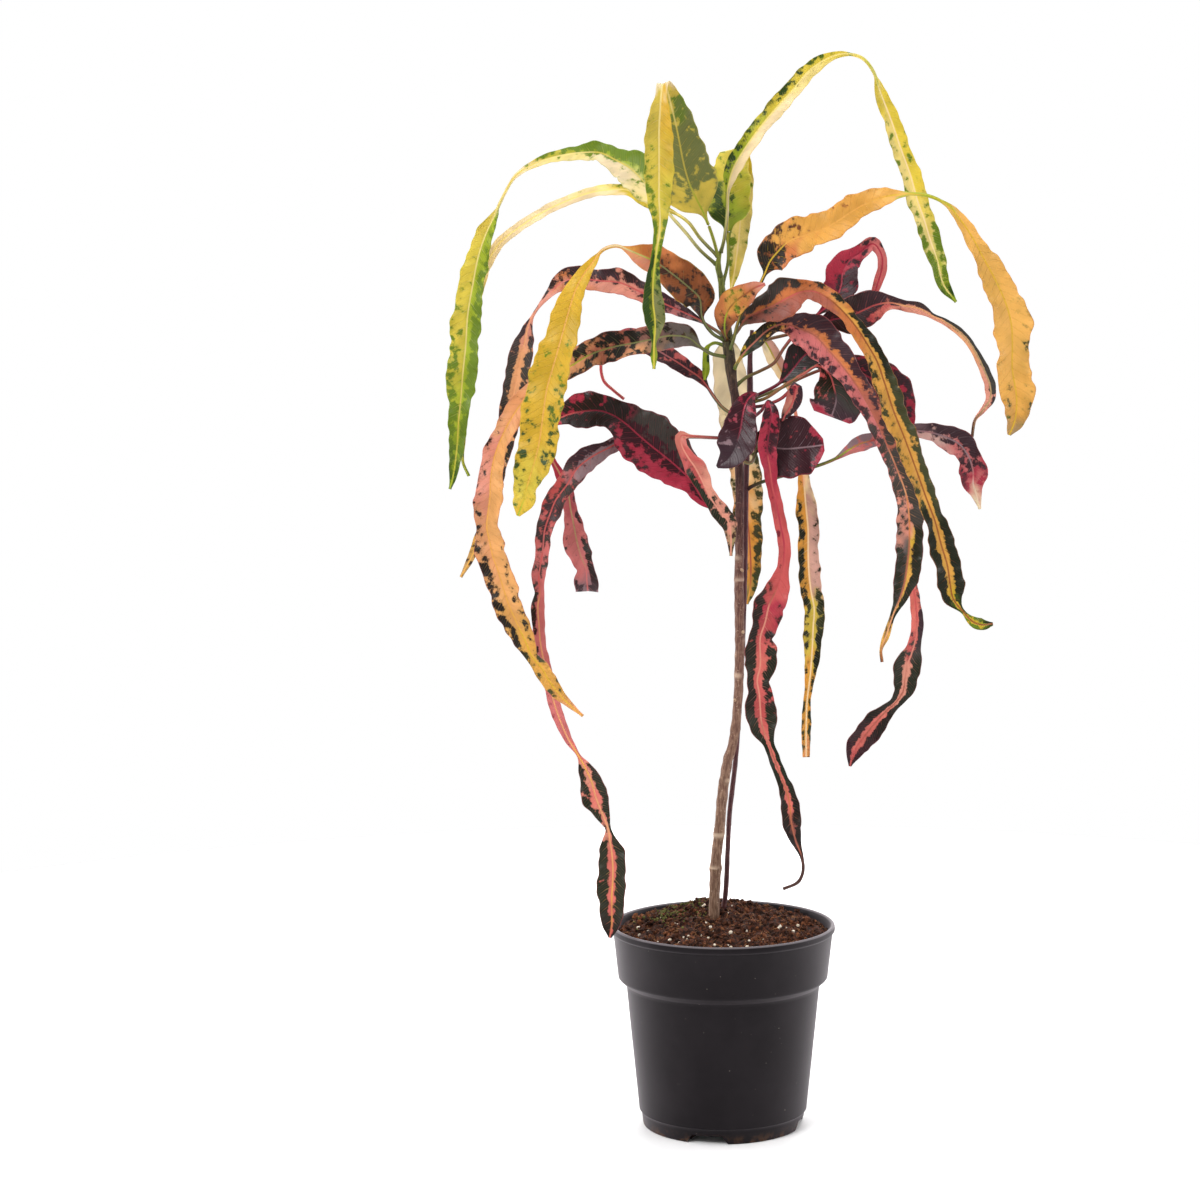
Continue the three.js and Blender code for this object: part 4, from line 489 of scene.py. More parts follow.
# How each leaf is painted along its stations. A zone is
# (station, ground, marks, (cover at the low edge, the midrib, the high edge), midrib, high half's ground).
# The low edge is the left one on a hanging leaf, and the high edge the right one.
GREEN_FOOT = (0, STALK, GREEN, (0, 0, 0), STALK)
DARK_FOOT = (0, DARK_STALK, MAROON, (0, 0, 0), DARK_STALK)
PAINT = {
    "leaf_left_arch": [
        GREEN_FOOT, (4, BUTTER, GREEN, (0.5, 0.35, 0.35), BUTTER),
        (6, LIME, GREEN, (0.8, 0.4, 0.1), STRAW, CREAM), (8, LIME, GREEN, (0.9, 0.5, 0.2), STRAW, CREAM),
        (9, LIME, GREEN, (0.8, 0.5, 0.3), BUTTER, BUTTER),
        (11, STRAW, GREEN, (0.6, 0.3, 0.1), BUTTER, BUTTER), (13, CREAM, GREEN, (0.1, 0, 0), STRAW),
        (15, STRAW, GREEN, (0.05, 0.1, 0.45), BUTTER, LIME),
        (17, LEMON, GREEN, (0.15, 0.12, 0.6), BUTTER, LIME),
        (20, LEMON, GREEN, (0.5, 0.2, 0.75), BUTTER, LIME), (23, LIME, GREEN, (0.75, 0.4, 0.85), STRAW),
        (26, GREEN, DEEP, (0.5, 0.4, 0.6), LIME),
    ],
    "leaf_left_arch_back": [
        GREEN_FOOT, (3, LEMON, GREEN, (0.3, 0.2, 0.3), BUTTER), (5, LEMON, GREEN, (0.55, 0.2, 0.1), BUTTER),
        (6, BUTTER, GREEN, (0.3, 0, 0), BUTTER, CREAM), (8, CREAM, GREEN, (0, 0, 0), BUTTER),
        (12, CREAM, GREEN, (0, 0, 0), BUTTER), (15, LEMON, GREEN, (0.4, 0.2, 0.4), BUTTER),
        (18, GREEN, DEEP, (0.3, 0.3, 0.3), LIME),
    ],
    "leaf_crown_fold": [
        GREEN_FOOT, (4, STRAW, SAGE, (0.1, 0.3, 0.1), LIME), (5, STRAW, SAGE, (0.5, 0.75, 0.6), STRAW),
        (7, STRAW, SAGE, (0.6, 0.85, 0.8), STRAW), (8, STRAW, SAGE, (0.6, 0.85, 0.8), STRAW),
        (9, STRAW, GREEN, (0.4, 0.5, 0.7), BUTTER), (10, STRAW, GREEN, (0, 0.1, 0.15), BUTTER),
        (11, CREAM, GREEN, (0, 0, 0), BUTTER), (12, STRAW, GREEN, (0, 0, 0.1), BUTTER, GOLD),
        (14, STRAW, GREEN, (0.3, 0, 0.15), BUTTER, GOLD), (17, LEMON, GREEN, (0.55, 0, 0.3), BUTTER),
        (19, LEMON, GREEN, (0.65, 0.15, 0.7), BUTTER), (20, LIME, DEEP, (0.8, 0.2, 0.65), LEMON),
        (22, DEEP, DEEP, (1, 0.2, 0.4), LEMON, OLIVE), (24, LIME, DEEP, (0.9, 0.2, 0.4), LEMON, OLIVE),
        (27, LIME, GREEN, (0.2, 0.1, 0.2), LEMON),
    ],
    "leaf_right_arch": [
        GREEN_FOOT, (3, CREAM, DEEP, (0, 0.1, 0.6), BUTTER, LIME),
        (5, CREAM, DEEP, (0, 0.05, 0.6), BUTTER, LIME), (7, CREAM, DEEP, (0, 0.1, 0.45), BUTTER, LEMON),
        (9, BUTTER, DEEP, (0, 0.25, 0.55), BUTTER, LEMON), (11, LEMON, GREEN, (0.2, 0.1, 0.4), BUTTER),
        (13, BUTTER, GREEN, (0, 0, 0), LIME), (14, LEMON, GREEN, (0.1, 0, 0), CREAM),
        (16, BUTTER, GREEN, (0.45, 0, 0.4), CREAM, LEMON), (18, BUTTER, GREEN, (0.5, 0, 0.35), CREAM, LEMON),
        (20, BUTTER, GREEN, (0.7, 0.05, 0.7), CREAM), (22, LIME, GREEN, (0.8, 0.4, 0.8), BUTTER),
        (23, GREEN, DEEP, (0.4, 0.3, 0.4), LIME),
    ],
    "leaf_crown": [
        GREEN_FOOT, (4, LIME, DEEP, (0.85, 0.5, 0.2), LEMON), (6, LEMON, GREEN, (0.3, 0.2, 0.3), BUTTER),
        (8, LEMON, GREEN, (0.3, 0.2, 0.1), BUTTER), (9, LEMON, GREEN, (0.8, 0.3, 0.1), BUTTER, BUTTER),
        (11, BUTTER, GREEN, (0.55, 0.05, 0.45), CREAM), (13, LEMON, GREEN, (0.4, 0.1, 0.4), BUTTER),
    ],
    "leaf_right_amber": [
        GREEN_FOOT, (5, BROWN, BLACK, (0.6, 0.7, 0.6), GOLD), (6, RUST, BLACK, (0.8, 0.8, 0.75), GOLD),
        (7, ORANGE, BLACK, (0.45, 0.62, 0.55), GOLD), (8, ORANGE, BROWN, (0.1, 0.35, 0.42), AMBER, AMBER),
        (9, AMBER, RUST, (0.05, 0.15, 0.2), AMBER), (12, AMBER, RUST, (0, 0, 0.1), AMBER),
        (14, HONEY, RUST, (0, 0, 0.1), GOLD), (15, LIME, GREEN, (0, 0, 0), LIME),
        (17, HONEY, GREEN, (0, 0, 0), GOLD), (20, HONEY, GREEN, (0.1, 0, 0.1), GOLD),
        (21, HONEY, MOSSY, (0.06, 0, 0.28), GOLD), (24, HONEY, MOSSY, (0.15, 0.02, 0.12), GOLD),
        (26, AMBER, MOSSY, (0.4, 0.05, 0.34), GOLD), (28, FAWN, GREEN, (0.2, 0.1, 0.2), GOLD),
    ],
    "leaf_left_yellow": [
        GREEN_FOOT, (2, BROWN, BLACK, (0.5, 0.5, 0.5), OLIVE), (3, RUST, BLACK, (0.4, 0.55, 0.62), OLIVE),
        (5, RUST, BROWN, (0.35, 0.6, 0.4), OLIVE), (6, ORANGE, BROWN, (0.2, 0.5, 0.1), OLIVE),
        (7, ORANGE, RUST, (0.2, 0.2, 0), LIME, SALMON), (9, AMBER, RUST, (0, 0, 0), CREAM),
        (11, GOLD, RUST, (0.05, 0, 0.05), AMBER), (14, GOLD, GREEN, (0.12, 0, 0.1), AMBER),
        (16, GOLD, GREEN, (0.34, 0.05, 0.36), AMBER), (19, GOLD, DEEP, (0.34, 0.05, 0.42), AMBER),
        (21, LEMON, DEEP, (0.5, 0.05, 0.3), GOLD), (23, GOLD, GREEN, (0.35, 0.1, 0.3), LIME),
    ],
    "leaf_left_salmon": [
        GREEN_FOOT, (3, GREY, BROWN, (0.4, 0.35, 0.2), OLIVE), (4, GREY, BLACK, (0.5, 0.4, 0.2), OLIVE),
        (6, BRICK, BLACK, (0.6, 0.5, 0.5), OLIVE, APRICOT), (7, BRICK, BLACK, (0.75, 0.6, 0.55), OLIVE),
        (9, APRICOT, BLACK, (0.5, 0.45, 0.5), LIME), (10, APRICOT, BROWN, (0.2, 0.05, 0), AMBER),
        (13, APRICOT, BROWN, (0.1, 0, 0.05), AMBER), (14, SALMON, BLACK, (0.45, 0, 0.02), AMBER, PEACH),
        (17, SALMON, BLACK, (0.3, 0, 0.05), AMBER, PEACH), (19, APRICOT, BLACK, (0.5, 0, 0.15), AMBER, PEACH),
        (21, APRICOT, BLACK, (0.5, 0, 0.3), AMBER, PEACH), (24, PEACH, BLACK, (0.62, 0.02, 0.35), AMBER),
        (26, AMBER, BLACK, (0.62, 0.05, 0.4), GOLD), (28, AMBER, MOSSY, (0.45, 0.1, 0.55), GOLD),
        (30, AMBER, MOSSY, (0.4, 0.1, 0.5), GOLD), (32, APRICOT, BROWN, (0.1, 0.1, 0.1), AMBER),
    ],
    "leaf_left_rose": [
        GREEN_FOOT, (2, MAUVE, PLUM, (0.6, 0.6, 0.5), CORAL), (4, PINK, PLUM, (0.7, 0.6, 0.3), CORAL),
        (6, SALMON, BLACK, (0.7, 0.5, 0.05), CORAL), (7, SALMON, PLUM, (0.75, 0.6, 0.1), CORAL),
        (9, ORANGE, BLACK, (0.75, 0.5, 0.1), CORAL), (10, SALMON, BLACK, (0.6, 0.2, 0.2), SALMON),
        (11, SALMON, BROWN, (0.2, 0.1, 0.2), SALMON), (12, SALMON, PLUM, (0.7, 0.1, 0.5), APRICOT),
        (14, APRICOT, SLATE, (0.85, 0.08, 0.75), APRICOT), (17, APRICOT, BLACK, (0.85, 0.1, 0.7), APRICOT),
        (20, AMBER, NIGHT_GREEN, (0.5, 0.15, 0.6), AMBER), (22, FAWN, BROWN, (0.3, 0.3, 0.3), AMBER),
    ],
    "leaf_left_long": [
        DARK_FOOT, (4, MAUVE, PLUM, (0.3, 0.4, 0.2), CRIMSON), (6, MAUVE, PLUM, (0.75, 0.3, 0.1), CORAL),
        (8, MAUVE, PLUM, (0.85, 0.25, 0.2), CORAL), (9, CORAL, SLATE, (0.5, 0.6, 0.7), CORAL),
        (11, CORAL, PLUM, (0.6, 0.6, 0.8), CORAL), (13, PINK, SLATE, (0.5, 0.7, 0.5), PINK),
        (14, PINK, SLATE, (0.4, 0.2, 0.1), CORAL), (16, PINK, BLACK, (0.65, 0.1, 0), APRICOT),
        (18, PINK, MAROON, (0.6, 0.05, 0), APRICOT), (20, PINK, CRIMSON, (0.35, 0, 0), APRICOT),
        (22, PINK, BROWN, (0.2, 0, 0.1), APRICOT), (23, SHRIMP, BROWN, (0.1, 0.05, 0.1), AMBER),
        (24, SALMON, BLACK, (0.5, 0, 0.9), AMBER), (26, SHRIMP, NIGHT_GREEN, (0.8, 0, 0.95), APRICOT),
        (29, SALMON, NIGHT_GREEN, (0.5, 0.1, 0.5), APRICOT),
        (31, SHRIMP, NIGHT_GREEN, (0.97, 0.1, 0.97), APRICOT), (34, SHRIMP, NIGHT_GREEN, (1, 0.15, 1), AMBER),
        (37, CORAL, BLACK, (0.9, 0.5, 0.9), CORAL),
    ],
    "leaf_left_dark": [
        # the SLATE ground at stations 3 to 9 is partly a painted grey sheen, standing in for light reflected
        # off the dark glossy blade
        DARK_FOOT, (3, SLATE, MAROON, (0.6, 0.6, 0.2), ROSE, ROSE),
        (5, SLATE, MAROON, (0.3, 0.7, 0.3), ROSE, ROSE), (7, SLATE, MAROON, (0.2, 0.7, 0.35), ROSE, ROSE),
        (9, SLATE, MAROON, (0.3, 0.8, 0.6), ROSE, ROSE), (10, CRIMSON, BLACK, (0.85, 0.85, 0.85), CRIMSON),
        (12, ROSE, BLACK, (0.6, 0.85, 0.9), CRIMSON), (14, ROSE, BLACK, (0.5, 0.6, 0.8), CORAL),
        (16, ROSE, MAROON, (0.3, 0.3, 0.3), CORAL), (18, ROSE, MAROON, (0.05, 0, 0.2), FAWN),
        (21, PINK, MAROON, (0.2, 0, 0.35), FAWN), (22, PINK, BLACK, (0.35, 0, 0.7), FAWN),
        (24, PINK, BLACK, (0.1, 0.05, 0.85), PINK), (26, MAUVE, PLUM, (0.7, 0.35, 0.6), PINK),
    ],
    "leaf_left_small": [
        DARK_FOOT, (3, SALMON, RUST, (0.1, 0.1, 0.1), CORAL), (6, CORAL, SLATE, (0.2, 0.05, 0.2), SALMON),
        (8, CORAL, NIGHT_GREEN, (0.85, 0.25, 0.1), SALMON, SALMON),
        (10, SALMON, NIGHT_GREEN, (0.8, 0.4, 0.5), SALMON),
        (12, SALMON, NIGHT_GREEN, (0.7, 0.5, 0.8), SALMON), (14, OLIVE, BROWN, (0.5, 0.2, 0.5), SALMON),
    ],
    "leaf_left_curl": [
        GREEN_FOOT, (3, PLUM, MAROON, (0.4, 0.5, 0.4), CORAL), (5, CORAL, PLUM, (0.5, 0.7, 0.8), CORAL),
        (8, PINK, PLUM, (0.5, 0.7, 0.85), MAUVE), (10, ROSE, PLUM, (0.5, 0.5, 0.5), ROSE),
        (11, CORAL, CRIMSON, (0.2, 0.2, 0.2), ROSE), (15, SALMON, CRIMSON, (0.2, 0.2, 0.2), ROSE),
    ],
    "leaf_right_orange": [
        GREEN_FOOT, (2, UMBER, SLATE, (0.3, 0.5, 0.7), BRICK),
        (3, UMBER, SLATE, (0.3, 0.35, 0.85), BRICK, ORANGE),
        (5, BRICK, SLATE, (0.15, 0.15, 0.85), CORAL, ORANGE),
        (6, BRICK, SLATE, (0.1, 0.1, 0.5), CORAL, ORANGE),
        (8, BRICK, NIGHT_GREEN, (0.05, 0.02, 0.35), RUST, ORANGE),
        (9, ORANGE, NIGHT_GREEN, (0.05, 0.02, 0.6), RUST, AMBER),
        (10, ORANGE, NIGHT_GREEN, (0.1, 0.02, 0.9), RUST, AMBER),
        (12, AMBER, NIGHT_GREEN, (0.5, 0.02, 0.93), RUST, AMBER),
        (14, AMBER, MOSSY, (0.45, 0.02, 0.9), RUST, AMBER), (16, AMBER, MOSSY, (0.4, 0, 0.7), RUST, AMBER),
        (17, AMBER, MOSSY, (0.5, 0, 0.97), RUST, AMBER), (18, AMBER, NIGHT_GREEN, (0.9, 0.02, 1), RUST),
        (20, AMBER, NIGHT_GREEN, (1, 0.05, 1), RUST), (22, GOLD, NIGHT_GREEN, (1, 0.1, 0.95), RUST),
        (24, GOLD, GREEN, (0.5, 0.2, 0.5), RUST), (26, LIME, NIGHT_GREEN, (0.8, 0.3, 0.8), RUST),
    ],
    "leaf_right_spotted": [
        GREEN_FOOT, (2, GOLD, NIGHT_GREEN, (0.8, 0.7, 0.6), BRICK),
        (4, GOLD, NIGHT_GREEN, (0.5, 0.8, 0.8), BRICK), (6, PINK, PLUM, (0.45, 0.4, 0.95), BRICK, BRICK),
        (8, PINK, PLUM, (0.45, 0.3, 0.95), BRICK, ORANGE), (10, PINK, PLUM, (0.5, 0.2, 0.85), BRICK, ORANGE),
        (12, PINK, PLUM, (0.6, 0.2, 0.6), BRICK, BRICK), (14, PINK, SLATE, (0.65, 0.5, 0.7), BRICK, BRICK),
        (16, SALMON, SLATE, (0.7, 0.8, 0.95), APRICOT), (17, SALMON, SLATE, (0.4, 0.3, 1), ORANGE),
        (18, GREY, NIGHT_GREEN, (0.6, 0.02, 1), BRICK, GOLD),
        (19, SLATE, NIGHT_GREEN, (0.6, 0.02, 1), BRICK, AMBER),
        (21, SLATE, NIGHT_GREEN, (0.7, 0.02, 1), BRICK, AMBER),
        (22, SLATE, NIGHT_GREEN, (0.7, 0.3, 0.9), APRICOT), (23, AMBER, BROWN, (0.1, 0.1, 0.3), APRICOT),
        (25, BROWN, BLACK, (0.5, 0.5, 0.5), RUST),
    ],
    "leaf_right_crimson": [
        GREEN_FOOT, (6, CRIMSON, MAROON, (0.5, 0.6, 0.4), ROSE), (8, CRIMSON, PLUM, (0.8, 0.7, 0.1), ROSE),
        (9, ROSE, PLUM, (0.7, 0.5, 0.1), ROSE), (11, ROSE, MAROON, (0.5, 0.35, 0.3), CRIMSON),
        (12, PINK, PLUM, (0.3, 0.3, 0.6), ROSE), (13, PINK, MAROON, (0.15, 0.1, 0.3), ROSE),
        (17, CORAL, BROWN, (0.2, 0.1, 0.2), ROSE),
    ],
    "leaf_right_far": [
        GREEN_FOOT, (3, CRIMSON, MAROON, (0.8, 0.8, 0.8), CRIMSON),
        (5, CRIMSON, BLACK, (0.75, 0.85, 0.85), CRIMSON), (7, CORAL, PLUM, (0.4, 0.9, 0.9), CORAL),
        (9, SALMON, PLUM, (0.1, 0.6, 0.9), APRICOT), (11, SALMON, SLATE, (0.05, 0.3, 0.95), APRICOT),
        (14, APRICOT, SLATE, (0.05, 0.4, 0.97), FAWN), (17, SALMON, SLATE, (0.05, 0.6, 0.97), FAWN),
        (19, SALMON, PLUM, (0.15, 0.3, 0.4), FAWN), (21, BROWN, BLACK, (0.4, 0.4, 0.4), BROWN),
    ],
    "leaf_right_point": [
        DARK_FOOT, (3, CRIMSON, BLACK, (0.8, 0.9, 0.6), CRIMSON), (5, ROSE, BLACK, (0.9, 0.95, 0.7), CRIMSON),
        (7, CRIMSON, BLACK, (0.9, 0.9, 0.9), CRIMSON),
    ],
    "leaf_right_heart": [
        GREEN_FOOT, (4, CORAL, BLACK, (0.7, 0.8, 0.7), CORAL),
        (6, CORAL, NIGHT_GREEN, (0.7, 0.85, 0.8), CORAL), (7, CORAL, SLATE, (0.75, 0.8, 0.8), PLUM),
        (8, MAUVE, PLUM, (0.7, 0.75, 0.75), MAUVE), (9, ROSE, PLUM, (0.3, 0.45, 0.4), ROSE),
    ],
    "leaf_right_bud": [
        DARK_FOOT, (3, ROSE, PLUM, (0.5, 0.4, 0.7), CORAL), (5, SALMON, PLUM, (0.2, 0.2, 0.85), CORAL),
        (7, PLUM, BLACK, (0.6, 0.6, 0.6), CORAL),
    ],
    "leaf_front_fold": [
        DARK_FOOT, (3, CRIMSON, MAROON, (0.5, 0.7, 0.5), ROSE), (4, ROSE, MAROON, (0.6, 0.8, 0.6), CRIMSON),
        (5, MAUVE, MAROON, (0.75, 0.9, 0.8), CRIMSON), (7, MAUVE, PLUM, (0.6, 0.75, 0.8), PLUM),
        (9, MAUVE, PLUM, (0.8, 0.7, 0.8), PLUM),
    ],
    "leaf_front_dark": [
        (0, OLIVE, GREEN, (0, 0, 0), FAWN), (4, MAUVE, MAROON, (0.85, 0.9, 0.85), PLUM),
        (6, CORAL, MAROON, (0.85, 0.92, 0.85), MAUVE), (8, ROSE, MAROON, (0.75, 0.88, 0.75), MAUVE),
        (9, ROSE, MAROON, (0.55, 0.75, 0.55), MAUVE), (10, ROSE, CRIMSON, (0.2, 0.2, 0.2), ROSE),
    ],
    "leaf_front_long": [
        DARK_FOOT, (2, ROSE, MAROON, (0.6, 0.6, 0.6), ROSE), (4, ROSE, MAROON, (0.45, 0.6, 0.6), CRIMSON),
        (5, ROSE, MAROON, (0.15, 0.5, 0.6), CRIMSON), (6, ROSE, CRIMSON, (0.2, 0.2, 0.2), CORAL),
        (9, CORAL, CRIMSON, (0.35, 0.1, 0.1), ROSE), (12, CORAL, BROWN, (0.35, 0.05, 0.2), CORAL),
        (13, CORAL, BROWN, (0.5, 0.05, 0.1), BRICK), (14, ROSE, BLACK, (0.9, 0.05, 0.3), SALMON),
        (16, CORAL, BLACK, (0.95, 0.05, 0.6), SALMON), (18, SHRIMP, NIGHT_GREEN, (0.93, 0.02, 0.75), SALMON),
        (20, CORAL, BLACK, (0.9, 0.02, 0.5), SALMON), (22, CORAL, NIGHT_GREEN, (1, 0.02, 0.9), SALMON),
        (24, SHRIMP, NIGHT_GREEN, (1, 0.02, 0.95), BRICK), (26, SHRIMP, NIGHT_GREEN, (0.9, 0.1, 0.9), BRICK),
        (28, SHRIMP, BLACK, (0.95, 0.2, 0.97), ORANGE), (30, HUSK, BLACK, (0.95, 0.5, 0.95), BRICK),
        (31, HUSK, BLACK, (0.5, 0.5, 0.5), HUSK), (34, HUSK, BROWN, (0.3, 0.3, 0.3), HUSK),
    ],
    "leaf_right_grey": [
        DARK_FOOT, (4, STALK, GREEN, (0, 0, 0), STALK), (6, PINK, MAUVE, (0.3, 0.4, 0.6), LIME),
        (8, PINK, MAUVE, (0.4, 0.6, 0.8), CORAL), (11, PALE_PINK, PLUM, (0.3, 0.6, 0.85), MAUVE),
        (13, PINK, PLUM, (0.5, 0.6, 0.9), MAUVE), (14, PINK, MAROON, (0.4, 0.6, 0.8), MAUVE),
        (15, ROSE, PLUM, (0.6, 0.3, 0.3), PINK), (16, PINK, ROSE, (0.5, 0.3, 0.5), PALE_PINK),
        (18, CREAM, RUST, (0.2, 0.1, 0.2), CREAM),
    ],
    "leaf_right_low": [
        GREEN_FOOT, (4, ROSE, PLUM, (0.7, 0.8, 0.8), ROSE), (6, ROSE, PLUM, (0.5, 0.7, 0.6), ROSE),
        (8, ROSE, PLUM, (0.5, 0.6, 0.5), ROSE), (10, DARK_STALK, MAROON, (0, 0, 0), DARK_STALK),
        (12, SHRIMP, PLUM, (0.25, 0.1, 0.4), CORAL), (14, SHRIMP, PLUM, (0.2, 0.15, 0.85), CORAL),
        (16, CORAL, SLATE, (0.6, 0.6, 0.85), SALMON), (17, SALMON, NIGHT_GREEN, (0.95, 0.05, 0.95), SALMON),
        (19, SALMON, NIGHT_GREEN, (1, 0.05, 0.95), BRICK), (22, SHRIMP, BLACK, (0.97, 0.05, 1), BRICK),
        (24, SHRIMP, MAROON, (0.95, 0.02, 1), CORAL), (25, CORAL, MAROON, (0.9, 0.05, 0.95), CORAL),
        (27, BRICK, BLACK, (0.5, 0.4, 0.5), CORAL),
    ],
    "leaf_middle_cream": [
        DARK_FOOT, (2, IVORY, RUST, (0, 0, 0), LIME, PALE_PINK),
        (5, CREAM, RUST, (0, 0, 0), SALMON, PALE_PINK), (7, SALMON, RUST, (0.1, 0.1, 0.1), SALMON),
        (9, AMBER, MOSSY, (0.2, 0, 0.2), CREAM, CREAM),
        (10, AMBER, NIGHT_GREEN, (0.55, 0.05, 0.3), CREAM, PALE_PINK),
        (12, AMBER, NIGHT_GREEN, (0.6, 0.05, 0.3), CREAM, PALE_PINK),
        (14, AMBER, NIGHT_GREEN, (0.65, 0.1, 0.35), CREAM, PALE_PINK),
        (15, STRAW, MOSSY, (0.5, 0.05, 0.85), CREAM), (17, STRAW, NIGHT_GREEN, (0.5, 0.02, 0.8), CREAM),
        (18, AMBER, NIGHT_GREEN, (0.4, 0.05, 0.5), CREAM), (20, AMBER, MOSSY, (0.55, 0.05, 0.7), CREAM),
        (21, APRICOT, MOSSY, (0.2, 0.05, 0.2), CREAM),
    ],
    "leaf_back_cream": [
        GREEN_FOOT, (2, IVORY, RUST, (0, 0, 0), IVORY, IVORY), (4, IVORY, OLIVE, (0, 0, 0.1), IVORY, IVORY),
        (5, CREAM, MOSSY, (0.4, 0, 0.4), APRICOT, CREAM),
        (7, APRICOT, MOSSY, (0.6, 0.05, 0.65), BRICK, AMBER), (9, AMBER, MOSSY, (0.6, 0.05, 0.7), BRICK),
        (11, OLIVE, DEEP, (0.4, 0.2, 0.4), AMBER),
    ],
    "leaf_side_green": [
        GREEN_FOOT, (2, LIME, DEEP, (0.2, 0.2, 0.4), LIME), (5, LIME, DEEP, (0.3, 0.3, 0.5), LIME),
    ],
    "leaf_front_amber": [
        (0, BROWN, BLACK, (0.2, 0.2, 0.2), BROWN), (2, RUST, BROWN, (0.3, 0.4, 0.3), LIME),
        (3, ORANGE, BROWN, (0.4, 0.4, 0.2), LIME), (4, AMBER, GREEN, (0.4, 0.3, 0.35), RUST),
        (5, ORANGE, BROWN, (0.3, 0.3, 0.25), RUST), (7, SALMON, BROWN, (0.2, 0.2, 0.2), CORAL),
    ],
}
# the thin line along the blade's edge, the colour that the underside fades to, and how far
DEFAULT_FINISH = (CORAL, GREY, 0.35)
FINISH = {
    "leaf_left_arch": (LIME, CREAM, 0.45), "leaf_left_arch_back": (BUTTER, CREAM, 0.4),
    "leaf_crown_fold": (LEMON, OLIVE, 0), "leaf_right_arch": (LEMON, CREAM, 0.45),
    "leaf_crown": (LEMON, OLIVE, 0), "leaf_right_amber": (ORANGE, APRICOT, 0.3),
    "leaf_left_yellow": (GOLD, APRICOT, 0.3), "leaf_left_salmon": (CORAL, APRICOT, 0.3),
    "leaf_side_green": (LIME, OLIVE, 0.2), "leaf_middle_cream": (AMBER, CREAM, 0.4),
    "leaf_back_cream": (FAWN, CREAM, 0.4), "leaf_front_amber": (RUST, RUST, 0.4),
    "leaf_right_orange": (ORANGE, CORAL, 0.4), "leaf_left_dark": (ROSE, SLATE, 0.3),
    "leaf_front_dark": (ROSE, PLUM, 0.3), "leaf_front_fold": (CRIMSON, PLUM, 0.3),
    "leaf_right_heart": (ROSE, PLUM, 0.3), "leaf_right_point": (CRIMSON, PLUM, 0.3),
    "leaf_front_long": (CORAL, PINK, 0.35), "leaf_right_crimson": (CRIMSON, ROSE, 0.4),
}

LEAF_SLOTS = {   # roughness, softness of the marks' edges, share of light let through
    "leaf_yellow_green": (0.4, 0.09, 0.36), "leaf_yellow": (0.42, 0.08, 0.5), "leaf_amber": (0.4, 0.08, 0.28),
    "leaf_rose": (0.4, 0.08, 0.22), "leaf_dark": (0.32, 0.08, 0.1),
}
SLOT_LEAVES = {
    "leaf_yellow_green": ["leaf_left_arch", "leaf_crown_fold", "leaf_crown", "leaf_side_green"],
    "leaf_yellow": ["leaf_left_arch_back", "leaf_right_arch", "leaf_middle_cream", "leaf_back_cream"],
    "leaf_amber": [
        "leaf_right_amber", "leaf_left_yellow", "leaf_left_salmon", "leaf_right_orange", "leaf_front_amber",
    ],
    "leaf_rose": [
        "leaf_left_rose", "leaf_left_long", "leaf_left_small", "leaf_left_curl", "leaf_right_crimson",
        "leaf_right_bud", "leaf_front_long", "leaf_right_grey", "leaf_right_low",
    ],
    "leaf_dark": [
        "leaf_left_dark", "leaf_right_spotted", "leaf_right_far", "leaf_right_point", "leaf_right_heart",
        "leaf_front_fold", "leaf_front_dark",
    ],
}
SLOT_OF = {leaf: slot for slot, leaves in SLOT_LEAVES.items() for leaf in leaves}

# ------------------------------------------------------------------ curves

TINY = 1e-9
SAMPLES_A_PIECE = 16


def unit(vector):
    return vector / max(float(np.linalg.norm(vector)), TINY)


def lerp(a, b, share):
    return a + (b - a) * share


class Curve:
    """A centripetal Catmull-Rom curve, with its points at even steps of t from 0 to 1."""

    def __init__(self, points):
        p = [2 * points[0] - points[1], *points, 2 * points[-1] - points[-2]]
        self.pieces = []
        for x0, x1, x2, x3 in zip(p, p[1:], p[2:], p[3:]):
            a, b, c = (max(float(np.linalg.norm(v)), TINY) ** 0.5 for v in (x1 - x0, x2 - x1, x3 - x2))
            m1 = ((x1 - x0) / a - (x2 - x0) / (a + b) + (x2 - x1) / b) * b
            m2 = ((x2 - x1) / b - (x3 - x1) / (b + c) + (x3 - x2) / c) * b
            self.pieces.append((x1, m1, -3 * x1 + 3 * x2 - 2 * m1 - m2, 2 * x1 - 2 * x2 + m1 + m2))

    def at(self, t):
        """The point and the unit tangent at t."""
        place = t * len(self.pieces)
        i = min(int(place), len(self.pieces) - 1)
        f = place - i
        c0, c1, c2, c3 = self.pieces[i]
        return c0 + f * (c1 + f * (c2 + f * c3)), unit(c1 + f * (2 * c2 + 3 * f * c3))

    def even(self, step):
        """The values of t that cut the curve into equal lengths near step, and its whole length."""
        samples = np.linspace(0, 1, SAMPLES_A_PIECE * len(self.pieces) + 1)
        points = np.array([self.at(t)[0] for t in samples])
        lengths = np.concatenate([[0], np.cumsum(np.linalg.norm(np.diff(points, axis=0), axis=1))])
        count = max(3, round(lengths[-1] / step))
        return np.interp(np.linspace(0, lengths[-1], count + 1), lengths, samples), lengths[-1]


